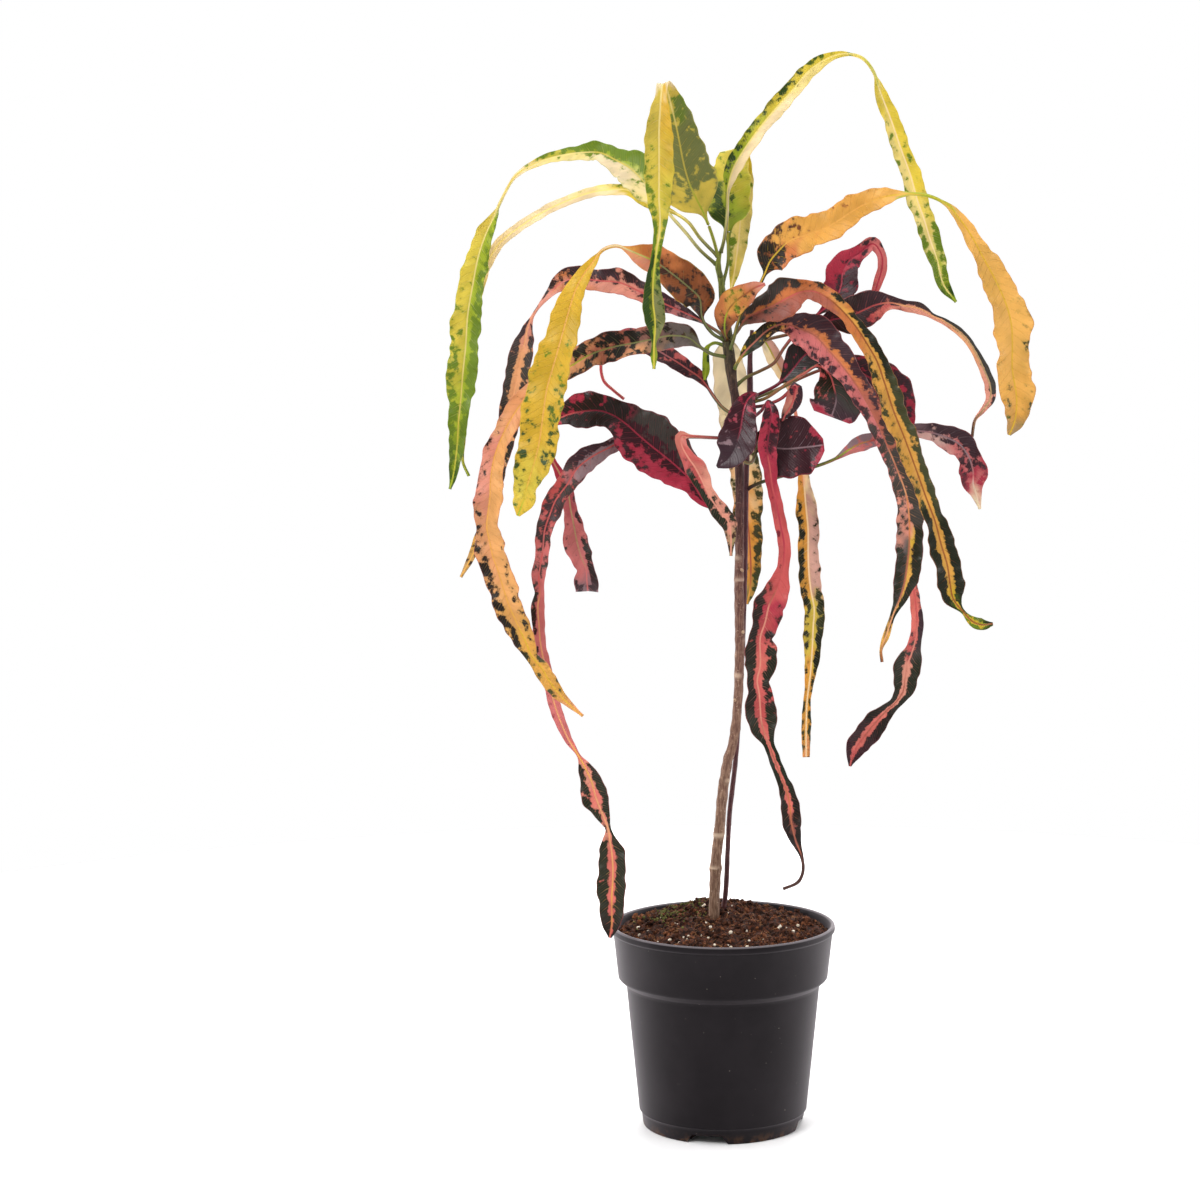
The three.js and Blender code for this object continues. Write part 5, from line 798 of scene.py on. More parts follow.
def smooth_values(values, places):
    """Values at fractional places between stations, joined smoothly with no overshoot."""
    values = np.array(values, float)
    steps = np.diff(values)
    slopes = np.zeros(len(values))
    for i in range(1, len(values) - 1):
        if steps[i - 1] * steps[i] > 0:
            slopes[i] = 2 * steps[i - 1] * steps[i] / (steps[i - 1] + steps[i])
    slopes[0], slopes[-1] = steps[0], steps[-1]
    i = np.clip(places.astype(int), 0, len(values) - 2)
    f = places - i
    hermite = (2 * f**3 - 3 * f**2 + 1) * values[i] + (f**3 - 2 * f**2 + f) * slopes[i]
    return hermite + (3 * f**2 - 2 * f**3) * values[i + 1] + (f**3 - f**2) * slopes[i + 1]


def circle(sides):
    """The cosine and sine of each corner of a regular polygon."""
    turns = [2 * math.pi * s / sides for s in range(sides)]
    return [(math.cos(a), math.sin(a)) for a in turns]


# ------------------------------------------------------------------ meshes


def add_object(name, data):
    made = bpy.data.objects.new(name, data)
    bpy.context.scene.collection.objects.link(made)
    return made


def make_piece(name, points, faces, material, node, smooth=True):
    """A mesh from points in mm, in place of a node."""
    mesh = bpy.data.meshes.new(name)
    mesh.from_pydata([tuple(p) for p in np.asarray(points) * MM], [], faces)
    mesh.validate()
    mesh.polygons.foreach_set("use_smooth", [smooth] * len(mesh.polygons))
    mesh.materials.append(material)
    mesh.update()
    piece = add_object(name, mesh)
    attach(piece, "root")
    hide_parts(node)
    return piece


def outward(points, faces, walls):
    """The faces, all turned round if the walls among them look inwards."""
    corners = np.array([(f[0], f[k], f[k + 1]) for f in walls for k in range(1, len(f) - 1)])
    a, b, c = np.asarray(points)[corners.T]
    if np.sum(a * np.cross(b, c)) < 0:
        return [tuple(reversed(f)) for f in faces]
    return faces


def tube(rings):
    """Points and faces of a closed tube through rings that have the same number of points."""
    sides = len(rings[0])
    points = np.concatenate(rings)
    walls = []
    for k in range(len(rings) - 1):
        for s in range(sides):
            a, b = k * sides + s, k * sides + (s + 1) % sides
            walls.append((a, b, b + sides, a + sides))
    ends = [tuple(reversed(range(sides))), tuple(len(points) - sides + s for s in range(sides))]
    return points, outward(points, walls + ends, walls)


def join(shapes):
    """The points and faces of several shapes, as one mesh."""
    points, faces = [], []
    for some, sides in shapes:
        faces += [tuple(i + len(points) for i in f) for f in sides]
        points += list(some)
    return points, faces


def set_colour(piece, name, colours):
    layer = piece.data.attributes.new(name, "FLOAT_COLOR", "POINT")
    rgba = np.ones((len(piece.data.vertices), 4), np.float32)
    rgba[:, :3] = colours
    layer.data.foreach_set("color", rgba.ravel())


def set_vector(piece, name, vectors):
    layer = piece.data.attributes.new(name, "FLOAT_VECTOR", "POINT")
    layer.data.foreach_set("vector", np.asarray(vectors, np.float32).ravel())


# ------------------------------------------------------------------ node trees

SHEEN_ROUGHNESS = 0.45
SHEEN_TINT = (1, 0.9, 0.96, 1)


class Nodes:
    """A short way to write the nodes of a material or a world. The methods return output sockets."""

    def __init__(self, owner):
        owner.use_nodes = True
        self.owner = owner
        self.tree = owner.node_tree
        self.tree.nodes.clear()

    def add(self, kind, inputs=(), **settings):
        """A node, with a link or a constant in each input that is named."""
        node = self.tree.nodes.new(kind)
        for key, value in settings.items():
            setattr(node, key, value)
        for key, value in dict(inputs).items():
            if isinstance(value, bpy.types.NodeSocket):
                self.tree.links.new(value, node.inputs[key])
            else:
                node.inputs[key].default_value = value
        return node

    def attribute(self, name, output="Color"):
        return self.add("ShaderNodeAttribute", attribute_name=name).outputs[output]

    def coordinate(self, output="Object"):
        return self.add("ShaderNodeTexCoord").outputs[output]

    def split(self, vector):
        return self.add("ShaderNodeSeparateXYZ", {0: vector}).outputs

    def stretch(self, vector, scales):
        return self.add("ShaderNodeVectorMath", {0: vector, 1: scales}, operation="MULTIPLY").outputs[0]

    def math(self, operation, a, b=0.0):
        return self.add("ShaderNodeMath", {0: a, 1: b}, operation=operation).outputs[0]

    def plus(self, a, b):
        return self.math("ADD", a, b)

    def minus(self, a, b):
        return self.math("SUBTRACT", a, b)

    def times(self, a, b):
        return self.math("MULTIPLY", a, b)

    def noise(self, vector, scale=1.0, detail=2.0, roughness=0.5):
        inputs = {"Vector": vector, "Scale": scale, "Detail": detail, "Roughness": roughness}
        return self.add("ShaderNodeTexNoise", inputs).outputs[0]

    def mix(self, share, a, b):
        inputs = {"Factor": share, 6: a, 7: b}
        return self.add("ShaderNodeMix", inputs, data_type="RGBA").outputs[2]

    def step(self, value, low, high, start=0.0, end=1.0):
        """From start to end, softly, while the value goes from low to high."""
        inputs = {"Value": value, "From Min": low, "From Max": high, "To Min": start, "To Max": end}
        return self.add("ShaderNodeMapRange", inputs, interpolation_type="SMOOTHSTEP").outputs[0]

    def lines(self, turns, low, high):
        """A soft line half way through each whole number of turns."""
        off = self.math("ABSOLUTE", self.minus(self.math("FRACT", turns), 0.5))
        return self.step(off, low, high, 1.0, 0.0)

    def bump(self, height, distance, strength):
        inputs = {"Height": height, "Distance": distance, "Strength": strength}
        return self.add("ShaderNodeBump", inputs).outputs[0]

    def finish(self, colour, normal, roughness, specular, sheen=0.0, translucent=0.0):
        """The shader and the output. It returns the material."""
        inputs = {
            "Base Color": colour, "Roughness": roughness, "Specular IOR Level": specular, "Normal": normal,
            "Sheen Weight": sheen, "Sheen Roughness": SHEEN_ROUGHNESS, "Sheen Tint": SHEEN_TINT,
        }
        surface = self.add("ShaderNodeBsdfPrincipled", inputs).outputs[0]
        if translucent:
            through = self.add("ShaderNodeBsdfTranslucent", {"Color": colour}).outputs[0]
            surface = self.add("ShaderNodeMixShader", {0: translucent, 1: surface, 2: through}).outputs[0]
        self.add("ShaderNodeOutputMaterial", {"Surface": surface})
        return self.owner


# ------------------------------------------------------------------ leaf skin

VEIN_STEP = 6.2        # mm between lateral veins
VEIN_LEAN = 0.8        # how far a lateral vein runs forward for each mm out
FINE_VEINS = 3.0       # fine veins in each step
VEIN_WARP = 0.004      # metres that the veins wander

# noise scales, for metres; the stretched ones run along the leaf, then across it
BLOTCH_SCALE = 175
RAGGED_SCALE = 950
STREAK_SCALES = (330, 90, 1)
PATCH_SCALES = (60, 75, 1)

# what adds up to a level, and the levels at which a mark and the halo round it start
RAGGED_WEIGHT = 0.22
STREAK_WEIGHT = 0.25
COVER_WEIGHT = 0.62
HALO_LEVEL, HALO_SPREAD = 0.80, 1.8
MARK_LEVEL, MARK_SPREAD = 0.81, 0.6

# bands in which a value takes effect, from none to all
DULL_PATCH = (0.35, 0.7)
DULL_DAPPLE = (0.5, 0.75)
VEIN_LINE = (0.02, 0.09)
FINE_LINE = (0.05, 0.22)
VEIN_GAPS = (0.42, 0.6)
VEIN_ENDS = (0.9, 0.2)             # from the rim to the midrib
RIM = (0.93, 0.985)
BROAD_BLADE = (0.006, 0.014)       # metres
RIB_LINE = (0.0009, 0.0003)        # metres from the middle
RIB_WIDTHS = (0.04, 0.006)         # metres of blade, and the midrib's share there
RIB_SHARES = (0.75, 0.95)

DULL_SATURATION, DULL_VALUE = 1.02, 0.8
DAPPLE_SHARE = 0.35
HALO_SHARE = 0.5
VEIN_SHARE = 0.3
FINE_SHARE = 0.05
RIM_SHARE = 0.3
VEIN_RELIEF, FINE_RELIEF, GRAIN_RELIEF = -0.6, -0.12, 0.35
LEAF_RELIEF = 0.0005               # metres
LEAF_SPECULAR = 0.27


def leaf_material(name, gloss, soft, through):
    """Ground colour, rounded blotches that run a little along the veins, faint veins, a satin skin."""
    n = Nodes(bpy.data.materials.new(name))
    place = n.attribute("place", "Vector")
    cover, out, width = n.split(n.attribute("field", "Vector"))
    along, across, _ = n.split(place)
    point = n.coordinate()
    blotch = n.noise(point, BLOTCH_SCALE)
    streak = n.noise(n.stretch(place, STREAK_SCALES))
    ragged = n.noise(point, RAGGED_SCALE, 2.0, 0.6)
    patch = n.noise(n.stretch(place, PATCH_SCALES))
    level = n.plus(blotch, n.times(n.minus(ragged, 0.5), RAGGED_WEIGHT))
    level = n.plus(level, n.times(n.minus(streak, 0.5), STREAK_WEIGHT))
    level = n.plus(level, n.times(cover, COVER_WEIGHT))
    halo = n.step(level, HALO_LEVEL - HALO_SPREAD * soft, HALO_LEVEL + soft)
    solid = n.step(level, MARK_LEVEL - MARK_SPREAD * soft, MARK_LEVEL + soft)

    ground, marks, rib = n.attribute("ground"), n.attribute("marks"), n.attribute("rib")
    faded = {"Saturation": DULL_SATURATION, "Value": DULL_VALUE, "Color": ground}
    dull = n.add("ShaderNodeHueSaturation", faded).outputs[0]
    base = n.mix(n.step(patch, *DULL_PATCH), ground, dull)
    base = n.mix(n.times(n.step(ragged, *DULL_DAPPLE), DAPPLE_SHARE), base, dull)
    base = n.mix(n.times(halo, HALO_SHARE), base, n.mix(0.5, marks, dull))
    base = n.mix(solid, base, marks)

    warp = n.times(n.minus(patch, 0.5), VEIN_WARP)
    turns = n.math("DIVIDE", n.plus(along, warp), VEIN_STEP * MM)
    vein = n.lines(turns, *VEIN_LINE)
    fine = n.lines(n.times(turns, FINE_VEINS), *FINE_LINE)
    broad = n.step(width, *BROAD_BLADE)
    lateral = n.times(n.times(vein, n.step(out, *VEIN_ENDS)), n.times(broad, VEIN_SHARE))
    base = n.mix(n.times(lateral, n.step(blotch, *VEIN_GAPS)), base, rib)
    base = n.mix(n.times(n.times(fine, broad), FINE_SHARE), base, rib)
    midrib = n.times(n.step(n.math("ABSOLUTE", across), *RIB_LINE), n.step(width, *RIB_WIDTHS, *RIB_SHARES))
    base = n.mix(midrib, base, rib)
    base = n.mix(n.times(n.times(n.step(out, *RIM), broad), RIM_SHARE), base, n.attribute("rim"))

    height = n.plus(n.times(vein, VEIN_RELIEF), n.times(ragged, GRAIN_RELIEF))
    height = n.plus(height, n.times(fine, FINE_RELIEF))
    normal = n.bump(n.times(height, broad), LEAF_RELIEF, 0.7)
    return n.finish(base, normal, gloss, LEAF_SPECULAR, translucent=through)


# ------------------------------------------------------------------ bark, grains and plastic

BARK_SCALES = (900, 900, 160)
FLECK_SCALES = (500, 500, 700)
BARK_BAND, FLECK_BAND, FLECK_SHARE = (0.4, 0.62), (0.6, 0.7), 0.5
BARK_RELIEF = 0.0005               # metres

GRAIN_SCALE = 400
MOSS_SCALE = 700
FINE_GRAIN = 5                     # times as fine as the coarse one
GRAIN_BAND = (0.38, 0.66)
LUMP_RELIEF = 0.0006               # metres

POT_DARK, POT_PALE = rgb(17, 13, 16), rgb(23, 19, 22)
# painted highlight: the pale grey painted on the crest of the rolled lip, where the light catches it
LIP_HIGHLIGHT_COLOUR = rgb(92, 87, 90)
SCUFF_COLOUR = rgb(150, 140, 128)
DUST_COLOUR = rgb(112, 78, 50)
# heights in metres of the band on the lip's crest that carries the painted highlight
LIP_HIGHLIGHT_HEIGHTS = (POT_HEIGHT * MM - 0.0014, POT_HEIGHT * MM - 0.0006)
CLOUD_SCALE, CLOUD_BAND = 22, (0.35, 0.65)
SCUFF_SCALE, SCUFF_BAND, SCUFF_SHARE = 520, (0.79, 0.82), 0.35
DUST_SCALE, DUST_BAND, DUST_SHARE = 160, (0.45, 0.62), 0.35
DUST_HEIGHT = 0.009                # metres
POT_GRAIN_SCALE, POT_RELIEF = 1500, 0.0001
POT_SPECULAR, POT_SHEEN = 0.08, 0.2


def stem_material(name, roughness):
    """Bark with streaks that run up it, and flecks."""
    n = Nodes(bpy.data.materials.new(name))
    point = n.coordinate()
    streak = n.noise(n.stretch(point, BARK_SCALES), 1.0, 3.0, 0.6)
    fleck = n.noise(n.stretch(point, FLECK_SCALES), 1.0, 3.0, 0.6)
    base = n.mix(n.step(streak, *BARK_BAND), n.attribute("ground"), n.attribute("marks"))
    base = n.mix(n.times(n.step(fleck, *FLECK_BAND), FLECK_SHARE), base, n.attribute("rib"))
    normal = n.bump(n.plus(streak, fleck), BARK_RELIEF, 0.6)
    return n.finish(base, normal, roughness, 0.3)


def grain_material(name, dark, pale, roughness, scale=GRAIN_SCALE):
    """An uneven colour between two, on a rough surface."""
    n = Nodes(bpy.data.materials.new(name))
    point = n.coordinate()
    coarse = n.noise(point, scale, 3.0, 0.6)
    fine = n.noise(point, scale * FINE_GRAIN, 2.0, 0.6)
    base = n.mix(n.step(coarse, *GRAIN_BAND), (*dark, 1), (*pale, 1))
    return n.finish(base, n.bump(fine, LUMP_RELIEF, 0.8), roughness, 0.2)


def pot_material():
    """Charcoal nursery plastic with a few scuffs, a painted highlight on top of the lip, and a little dust
    from the mix at the foot.
    """
    n = Nodes(bpy.data.materials.new("pot"))
    point = n.coordinate()
    height = n.split(point)[2]
    base = n.mix(n.step(n.noise(point, CLOUD_SCALE, 3.0, 0.6), *CLOUD_BAND), (*POT_DARK, 1), (*POT_PALE, 1))
    # painted highlight: the band just under the pot's top, on the lip's crest, is painted pale grey
    base = n.mix(n.step(height, *LIP_HIGHLIGHT_HEIGHTS), base, (*LIP_HIGHLIGHT_COLOUR, 1))
    scuff = n.step(n.noise(point, SCUFF_SCALE, 1.0, 0.5), *SCUFF_BAND)
    base = n.mix(n.times(scuff, SCUFF_SHARE), base, (*SCUFF_COLOUR, 1))
    dust = n.times(n.step(height, DUST_HEIGHT, 0.0), n.step(n.noise(point, DUST_SCALE, 3.0, 0.6), *DUST_BAND))
    base = n.mix(n.times(dust, DUST_SHARE), base, (*DUST_COLOUR, 1))
    normal = n.bump(n.noise(point, POT_GRAIN_SCALE, 2.0, 0.6), POT_RELIEF, 0.35)
    return n.finish(base, normal, 0.5, POT_SPECULAR, sheen=POT_SHEEN)


# ------------------------------------------------------------------ pot


def pot_profile():
    """Radius and height from under the plate, up the outside, over the lip and down to the plate's top."""
    lip = POT_HEIGHT - LIP_HEIGHT
    inside_foot = FOOT_RADIUS - FOOT_WIDTH
    return [
        (0, PLATE_UNDER), (inside_foot - 1.5, PLATE_UNDER),
        # the foot ring and the body
        (inside_foot, 0), (FOOT_RADIUS - 1.2, 0), (FOOT_RADIUS - 0.3, 0.4), (FOOT_RADIUS, 1.4),
        (FOOT_RADIUS + 1, 9), (FOOT_RADIUS + 1.7, 11), (FOOT_RADIUS + 2.8, 12),
        (BODY_RADIUS - 3.6, BODY_MIDDLE),
        (BODY_RADIUS - 0.6, COLLAR_BOTTOM - 7), (BODY_RADIUS - 0.1, COLLAR_BOTTOM - 4.6),
        (BODY_RADIUS + 1, COLLAR_BOTTOM - 3.5),
        # the collar
        (COLLAR_RADIUS - 0.8, COLLAR_BOTTOM), (COLLAR_RADIUS - 0.2, COLLAR_BOTTOM + 0.8),
        (COLLAR_RADIUS, COLLAR_BOTTOM + 2),
        # the rolled lip
        (RIM_RADIUS - 1.8, lip - 1.4), (RIM_RADIUS - 1.3, lip - 0.5), (RIM_RADIUS - 0.5, lip),
        (RIM_RADIUS - 0.1, lip + 0.6), (RIM_RADIUS, lip + 1.6), (RIM_RADIUS - 0.2, POT_HEIGHT - 1.7),
        (RIM_RADIUS - 0.5, POT_HEIGHT - 0.7), (RIM_RADIUS - 1.5, POT_HEIGHT),
        (RIM_RADIUS - 2.5, POT_HEIGHT - 0.15), (RIM_RADIUS - 3.2, POT_HEIGHT - 0.6),
        (RIM_RADIUS - 4.2, POT_HEIGHT - 3),
        # the inside
        (COLLAR_RADIUS - 0.8 - WALL, COLLAR_BOTTOM + 2), (BODY_RADIUS - 0.4 - WALL, COLLAR_BOTTOM - 4),
        (BODY_RADIUS - 3.6 - WALL, BODY_MIDDLE), (FOOT_RADIUS + 2.4 - WALL, 14), (FOOT_RADIUS - 2, PLATE_TOP),
        (0, PLATE_TOP),
    ]


def lathe(outline, sides):
    """A closed solid from an outline that starts and ends on the axis."""
    points = [(0, 0, outline[0][1])]
    for radius, height in outline[1:-1]:
        points += [(radius * c, radius * s, height) for c, s in circle(sides)]
    points.append((0, 0, outline[-1][1]))
    rows = len(outline) - 2
    faces = []
    for s in range(sides):
        after = (s + 1) % sides
        faces.append((0, 1 + after, 1 + s))
        for k in range(rows - 1):
            low, high = 1 + k * sides, 1 + (k + 1) * sides
            faces.append((low + s, low + after, high + after, high + s))
        last = 1 + (rows - 1) * sides
        faces.append((last + s, last + after, len(points) - 1))
    return np.array(points, float), faces


def prism(outline, place):
    """A closed prism: each corner of the outline is placed at its near and its far end."""
    count = len(outline)
    points = [place(corner, end) for end in (0, 1) for corner in outline]
    faces = [tuple(range(count)), tuple(reversed(range(count, 2 * count)))]
    for i in range(count):
        j = (i + 1) % count
        faces.append((i, i + count, j + count, j))
    return points, outward(points, faces, faces)


def pot_cutters():
    """The drainage gaps under the foot ring and the holes through the plate, as one mesh."""
    shape = [
        (-NOTCH_WIDTH / 2 - 1, -1), (NOTCH_WIDTH / 2 + 1, -1),
        (NOTCH_TOP_WIDTH / 2, NOTCH_HEIGHT), (-NOTCH_TOP_WIDTH / 2, NOTCH_HEIGHT),
    ]
    solids = []
    for i in range(NOTCH_COUNT):
        turn = math.radians(NOTCH_TURN + 360 * i / NOTCH_COUNT)

        def notch(corner, end, c=math.cos(turn), s=math.sin(turn)):
            x, y = corner[0], -(FOOT_RADIUS - FOOT_WIDTH - 2) - end * (FOOT_WIDTH + 6)
            return (x * c - y * s, x * s + y * c, corner[1])

        solids.append(prism(shape, notch))
    hole = [(c * DRAIN_RADIUS, s * DRAIN_RADIUS) for c, s in circle(DRAIN_SIDES)]
    for cx, cy in [(0, 0)] + [(DRAIN_CIRCLE * c, DRAIN_CIRCLE * s) for c, s in circle(DRAIN_COUNT)]:

        def drain(corner, end, cx=cx, cy=cy):
            return (cx + corner[0], cy + corner[1], -10 + 20 * end)

        solids.append(prism(hole, drain))
    return join(solids)


def build_pot():
    points, faces = lathe(pot_profile(), POT_SIDES)
    pot = make_piece("pot_fine", points, faces, pot_material(), "pot")
    cut_points, cut_faces = pot_cutters()
    mesh = bpy.data.meshes.new("cutters")
    mesh.from_pydata([tuple(c * MM for c in p) for p in cut_points], [], cut_faces)
    cutters = add_object("cutters", mesh)
    cut = pot.modifiers.new("cut", "BOOLEAN")
    cut.operation = "DIFFERENCE"
    cut.solver = "EXACT"
    cut.object = cutters
    bpy.context.view_layer.update()
    evaluated = pot.evaluated_get(bpy.context.evaluated_depsgraph_get())
    made = bpy.data.meshes.new_from_object(evaluated)
    pot.modifiers.clear()
    pot.data = made
    bpy.data.objects.remove(cutters)
    made.polygons.foreach_set("use_smooth", [True] * len(made.polygons))
    made.set_sharp_from_angle(angle=math.radians(SHARP_ANGLE))


# ------------------------------------------------------------------ potting mix

SOIL_RINGS, SOIL_SIDES = 86, 230
SOIL_WAVES = 2.2       # mm, as the solid has them
CRUMB_DEPTH = 2.6      # mm

GRAIN_COUNT = 2700
CHIP_COUNT = 130
PERLITE_COUNT = 120
MOSS_COUNT = 330
MOSS_X, MOSS_Y = (-40, 15), (24, 16)         # middle and spread of the mossy patch
FIBRE_COUNT, FIBRE_RINGS = 260, 6

PERLITE_FRONT = -20    # mm; behind this y most of the perlite is left out
PERLITE_LEFT_OUT = 0.65


def soil_top(x, y):
    """The mix's surface, as the solid has it."""
    r = math.hypot(x, y) / (RIM_RADIUS - 6)
    coarse = math.sin(x * 0.11 + 1.3) * math.sin(y * 0.13 + 0.4)
    fine = math.sin(x * 0.31 + y * 0.17) * math.sin(y * 0.37 - x * 0.21 + 2)
    heap = HEAP_HEIGHT * math.exp(-(((x - HEAP_X) / HEAP_WIDTH) ** 2) - ((y - HEAP_Y) / HEAP_DEPTH) ** 2)
    return SOIL_EDGE + SOIL_CROWN * (1 - r * r) + heap + SOIL_WAVES * (0.7 * coarse + 0.5 * fine)


def crumbly(x, y):
    """The same surface with crumbs."""
    rough = noise.fractal(Vector((x * 0.11, y * 0.11, 3)), 0.7, 2.2, 5)
    return soil_top(x, y) + CRUMB_DEPTH * rough


def build_soil(material):
    around = circle(SOIL_SIDES)
    below = [     # radius and height inside the pot
        (FOOT_RADIUS + 2.4 - WALL - 3, PLATE_TOP + 0.4), (BODY_RADIUS - 3.6 - WALL - 1, BODY_MIDDLE),
        (BODY_RADIUS - 0.4 - WALL - 1, COLLAR_BOTTOM - 4), (RIM_RADIUS - 9, COLLAR_BOTTOM + 3),
    ]
    rings = [np.array([(radius * c, radius * s, height) for c, s in around]) for radius, height in below]
    for k in range(SOIL_RINGS):
        radius = SOIL_RADIUS * (1 - k / (SOIL_RINGS - 0.5))
        ring = [(radius * c, radius * s) for c, s in around]
        rings.append(np.array([(x, y, crumbly(x, y)) for x, y in ring]))
    points, faces = tube(rings)
    make_piece("soil", points, faces, material, "potting_mix")


def ball():
    """The corners and faces of a ball with 42 corners."""
    shell = bmesh.new()
    bmesh.ops.create_icosphere(shell, subdivisions=2, radius=1)
    points = np.array([v.co[:] for v in shell.verts])
    faces = [tuple(v.index for v in f.verts) for f in shell.faces]
    shell.free()
    return points, faces


BALL_POINTS, BALL_FACES = ball()


def pebble(rng, centre, size, squash, jag):
    """An irregular lump: a ball with its corners pushed in and out, scaled and turned."""
    turn = np.linalg.qr(rng.normal(size=(3, 3)))[0]
    radii = 1 + rng.uniform(-jag, jag, len(BALL_POINTS))
    return (BALL_POINTS * radii[:, None] * np.array(squash) * size) @ turn.T + centre


def scatter(name, material, lumps, node="potting_mix", smooth=False):
    """Many lumps as one piece."""
    points, faces = join([(lump, BALL_FACES) for lump in lumps])
    make_piece(name, points, faces, material, node, smooth)


def spot_on_soil(rng, reach=SOIL_RADIUS - 1.6):
    radius, turn = reach * math.sqrt(rng.uniform()), rng.uniform(0, 2 * math.pi)
    return radius * math.cos(turn), radius * math.sin(turn)


def build_fibres(rng, material):
    """Thin curved shreds of coir that lie on the mix."""
    shreds = []
    for _ in range(FIBRE_COUNT):
        x, y = spot_on_soil(rng, SOIL_RADIUS - 6)
        turn, bend = rng.uniform(0, 2 * math.pi), rng.uniform(-0.25, 0.25)
        step, thick = rng.uniform(0.9, 1.9), rng.uniform(0.12, 0.3)
        rings = []
        for k in range(FIBRE_RINGS):
            turn += bend
            x, y = x + step * math.cos(turn), y + step * math.sin(turn)
            height = crumbly(x, y) + 0.5 + 0.5 * math.sin(k * 1.1)
            across, on = -math.sin(turn), math.cos(turn)
            around = [(math.cos(a), math.sin(a)) for a in (0, 1.57, 3.14, 4.71)]
            ring = [(x + across * c * thick, y + on * c * thick, height + s * thick) for c, s in around]
            rings.append(np.array(ring))
        shreds.append(tube(rings))
    points, faces = join(shreds)
    make_piece("coir", points, faces, material, "potting_mix")


def build_grains():
    """Peat crumbs, bark chips, perlite, moss and coir on the mix, all from one row of random numbers."""
    rng = np.random.default_rng(11)
    dark, warm, chips, white, moss = [], [], [], [], []
    for k in range(GRAIN_COUNT):
        x, y = spot_on_soil(rng)
        if noise.noise(Vector((x * 0.09, y * 0.09, 8))) < rng.uniform(-0.5, 0.1):
            continue
        size = 0.45 + 2.4 * rng.uniform() ** 3
        lump = pebble(rng, (x, y, crumbly(x, y) + 0.3 * size), size, (1, 0.8, 0.7), 0.36)
        (warm if k % 3 == 0 else dark).append(lump)
    for _ in range(CHIP_COUNT):
        x, y = spot_on_soil(rng, SOIL_RADIUS - 4)
        size = rng.uniform(1.2, 3.2)
        chips.append(pebble(rng, (x, y, crumbly(x, y) + 0.5), size, (1, 0.45, 0.22), 0.25))
    for _ in range(PERLITE_COUNT):
        x, y = spot_on_soil(rng)
        if y > PERLITE_FRONT and rng.uniform() < PERLITE_LEFT_OUT:
            continue
        size = 0.5 + 1.1 * rng.uniform() ** 1.6
        white.append(pebble(rng, (x, y, crumbly(x, y) + 0.5 * size), size, (1, 0.85, 0.8), 0.2))
    for _ in range(MOSS_COUNT):
        x, y = rng.normal(*MOSS_X), rng.normal(*MOSS_Y)
        if math.hypot(x, y) > SOIL_RADIUS - 2:
            continue
        size = rng.uniform(0.5, 1.2)
        moss.append(pebble(rng, (x, y, crumbly(x, y) + 0.6 * size), size, (1, 1, 0.9), 0.35))
    scatter("peat_dark", grain_material("peat", rgb(34, 18, 12), rgb(78, 44, 28), 0.95), dark)
    scatter("peat_warm", grain_material("warm_peat", rgb(68, 38, 25), rgb(122, 74, 46), 0.95), warm)
    scatter("bark_chips", grain_material("bark_chip", rgb(70, 44, 30), rgb(132, 90, 60), 0.9), chips)
    pale_grain = grain_material("perlite", rgb(206, 190, 166), rgb(238, 230, 214), 0.8)
    scatter("perlite", pale_grain, white, smooth=True)
    scatter("moss", grain_material("moss", rgb(66, 68, 34), rgb(118, 116, 62), 0.9, MOSS_SCALE), moss)
    build_fibres(rng, grain_material("fibre", rgb(96, 62, 38), rgb(156, 112, 74), 0.9))


# ------------------------------------------------------------------ stems

BARK = [     # row, ground, marks, flecks
    (905, rgb(96, 70, 54), rgb(132, 104, 84), rgb(186, 164, 140)),
    (700, rgb(92, 62, 52), rgb(128, 98, 80), rgb(184, 160, 138)),
    (560, rgb(80, 50, 44), rgb(112, 80, 68), rgb(170, 146, 128)),
    (500, rgb(58, 34, 34), rgb(84, 54, 50), rgb(122, 96, 84)),
    (400, rgb(50, 32, 30), rgb(76, 50, 44), rgb(112, 86, 74)),
    (350, rgb(38, 32, 22), rgb(66, 56, 34), rgb(104, 92, 60)),
    (300, rgb(62, 66, 30), rgb(92, 98, 42), rgb(124, 122, 66)),
    (250, rgb(100, 112, 44), rgb(124, 136, 54), rgb(146, 152, 78)),
]
YOUNG = [
    (905, rgb(66, 34, 38), rgb(88, 50, 50), rgb(120, 84, 74)),
    (330, rgb(62, 30, 38), rgb(80, 42, 46), rgb(104, 70, 66)),
]
STEM_SIDES = 28
STEM_STEP = 1.2                    # mm between rings
BURIED = 70                        # mm of stem in the mix
SCAR_SWELL, SWELL_ROWS = 0.1, 3.2
SCAR_ROWS = 2.4
SCAR_CHANGE = 545                  # the row above which the scars are faint
FAINT_SCAR = 0.3
SCAR_SHARE = 0.8
FAR_AWAY = 99                      # rows, where a stem has no scars


def stem_axis(stations):
    """The middle, the radius and the row of the view at each ring."""
    curve = Curve([seen(*s[:3]) for s in stations])
    cuts, _ = curve.even(STEM_STEP)
    places = cuts * (len(stations) - 1)
    rows = np.interp(places, range(len(stations)), [s[1] for s in stations])
    radii = smooth_values([s[3] / 2 for s in stations], places)
    return [curve.at(t)[0] for t in cuts], radii, rows


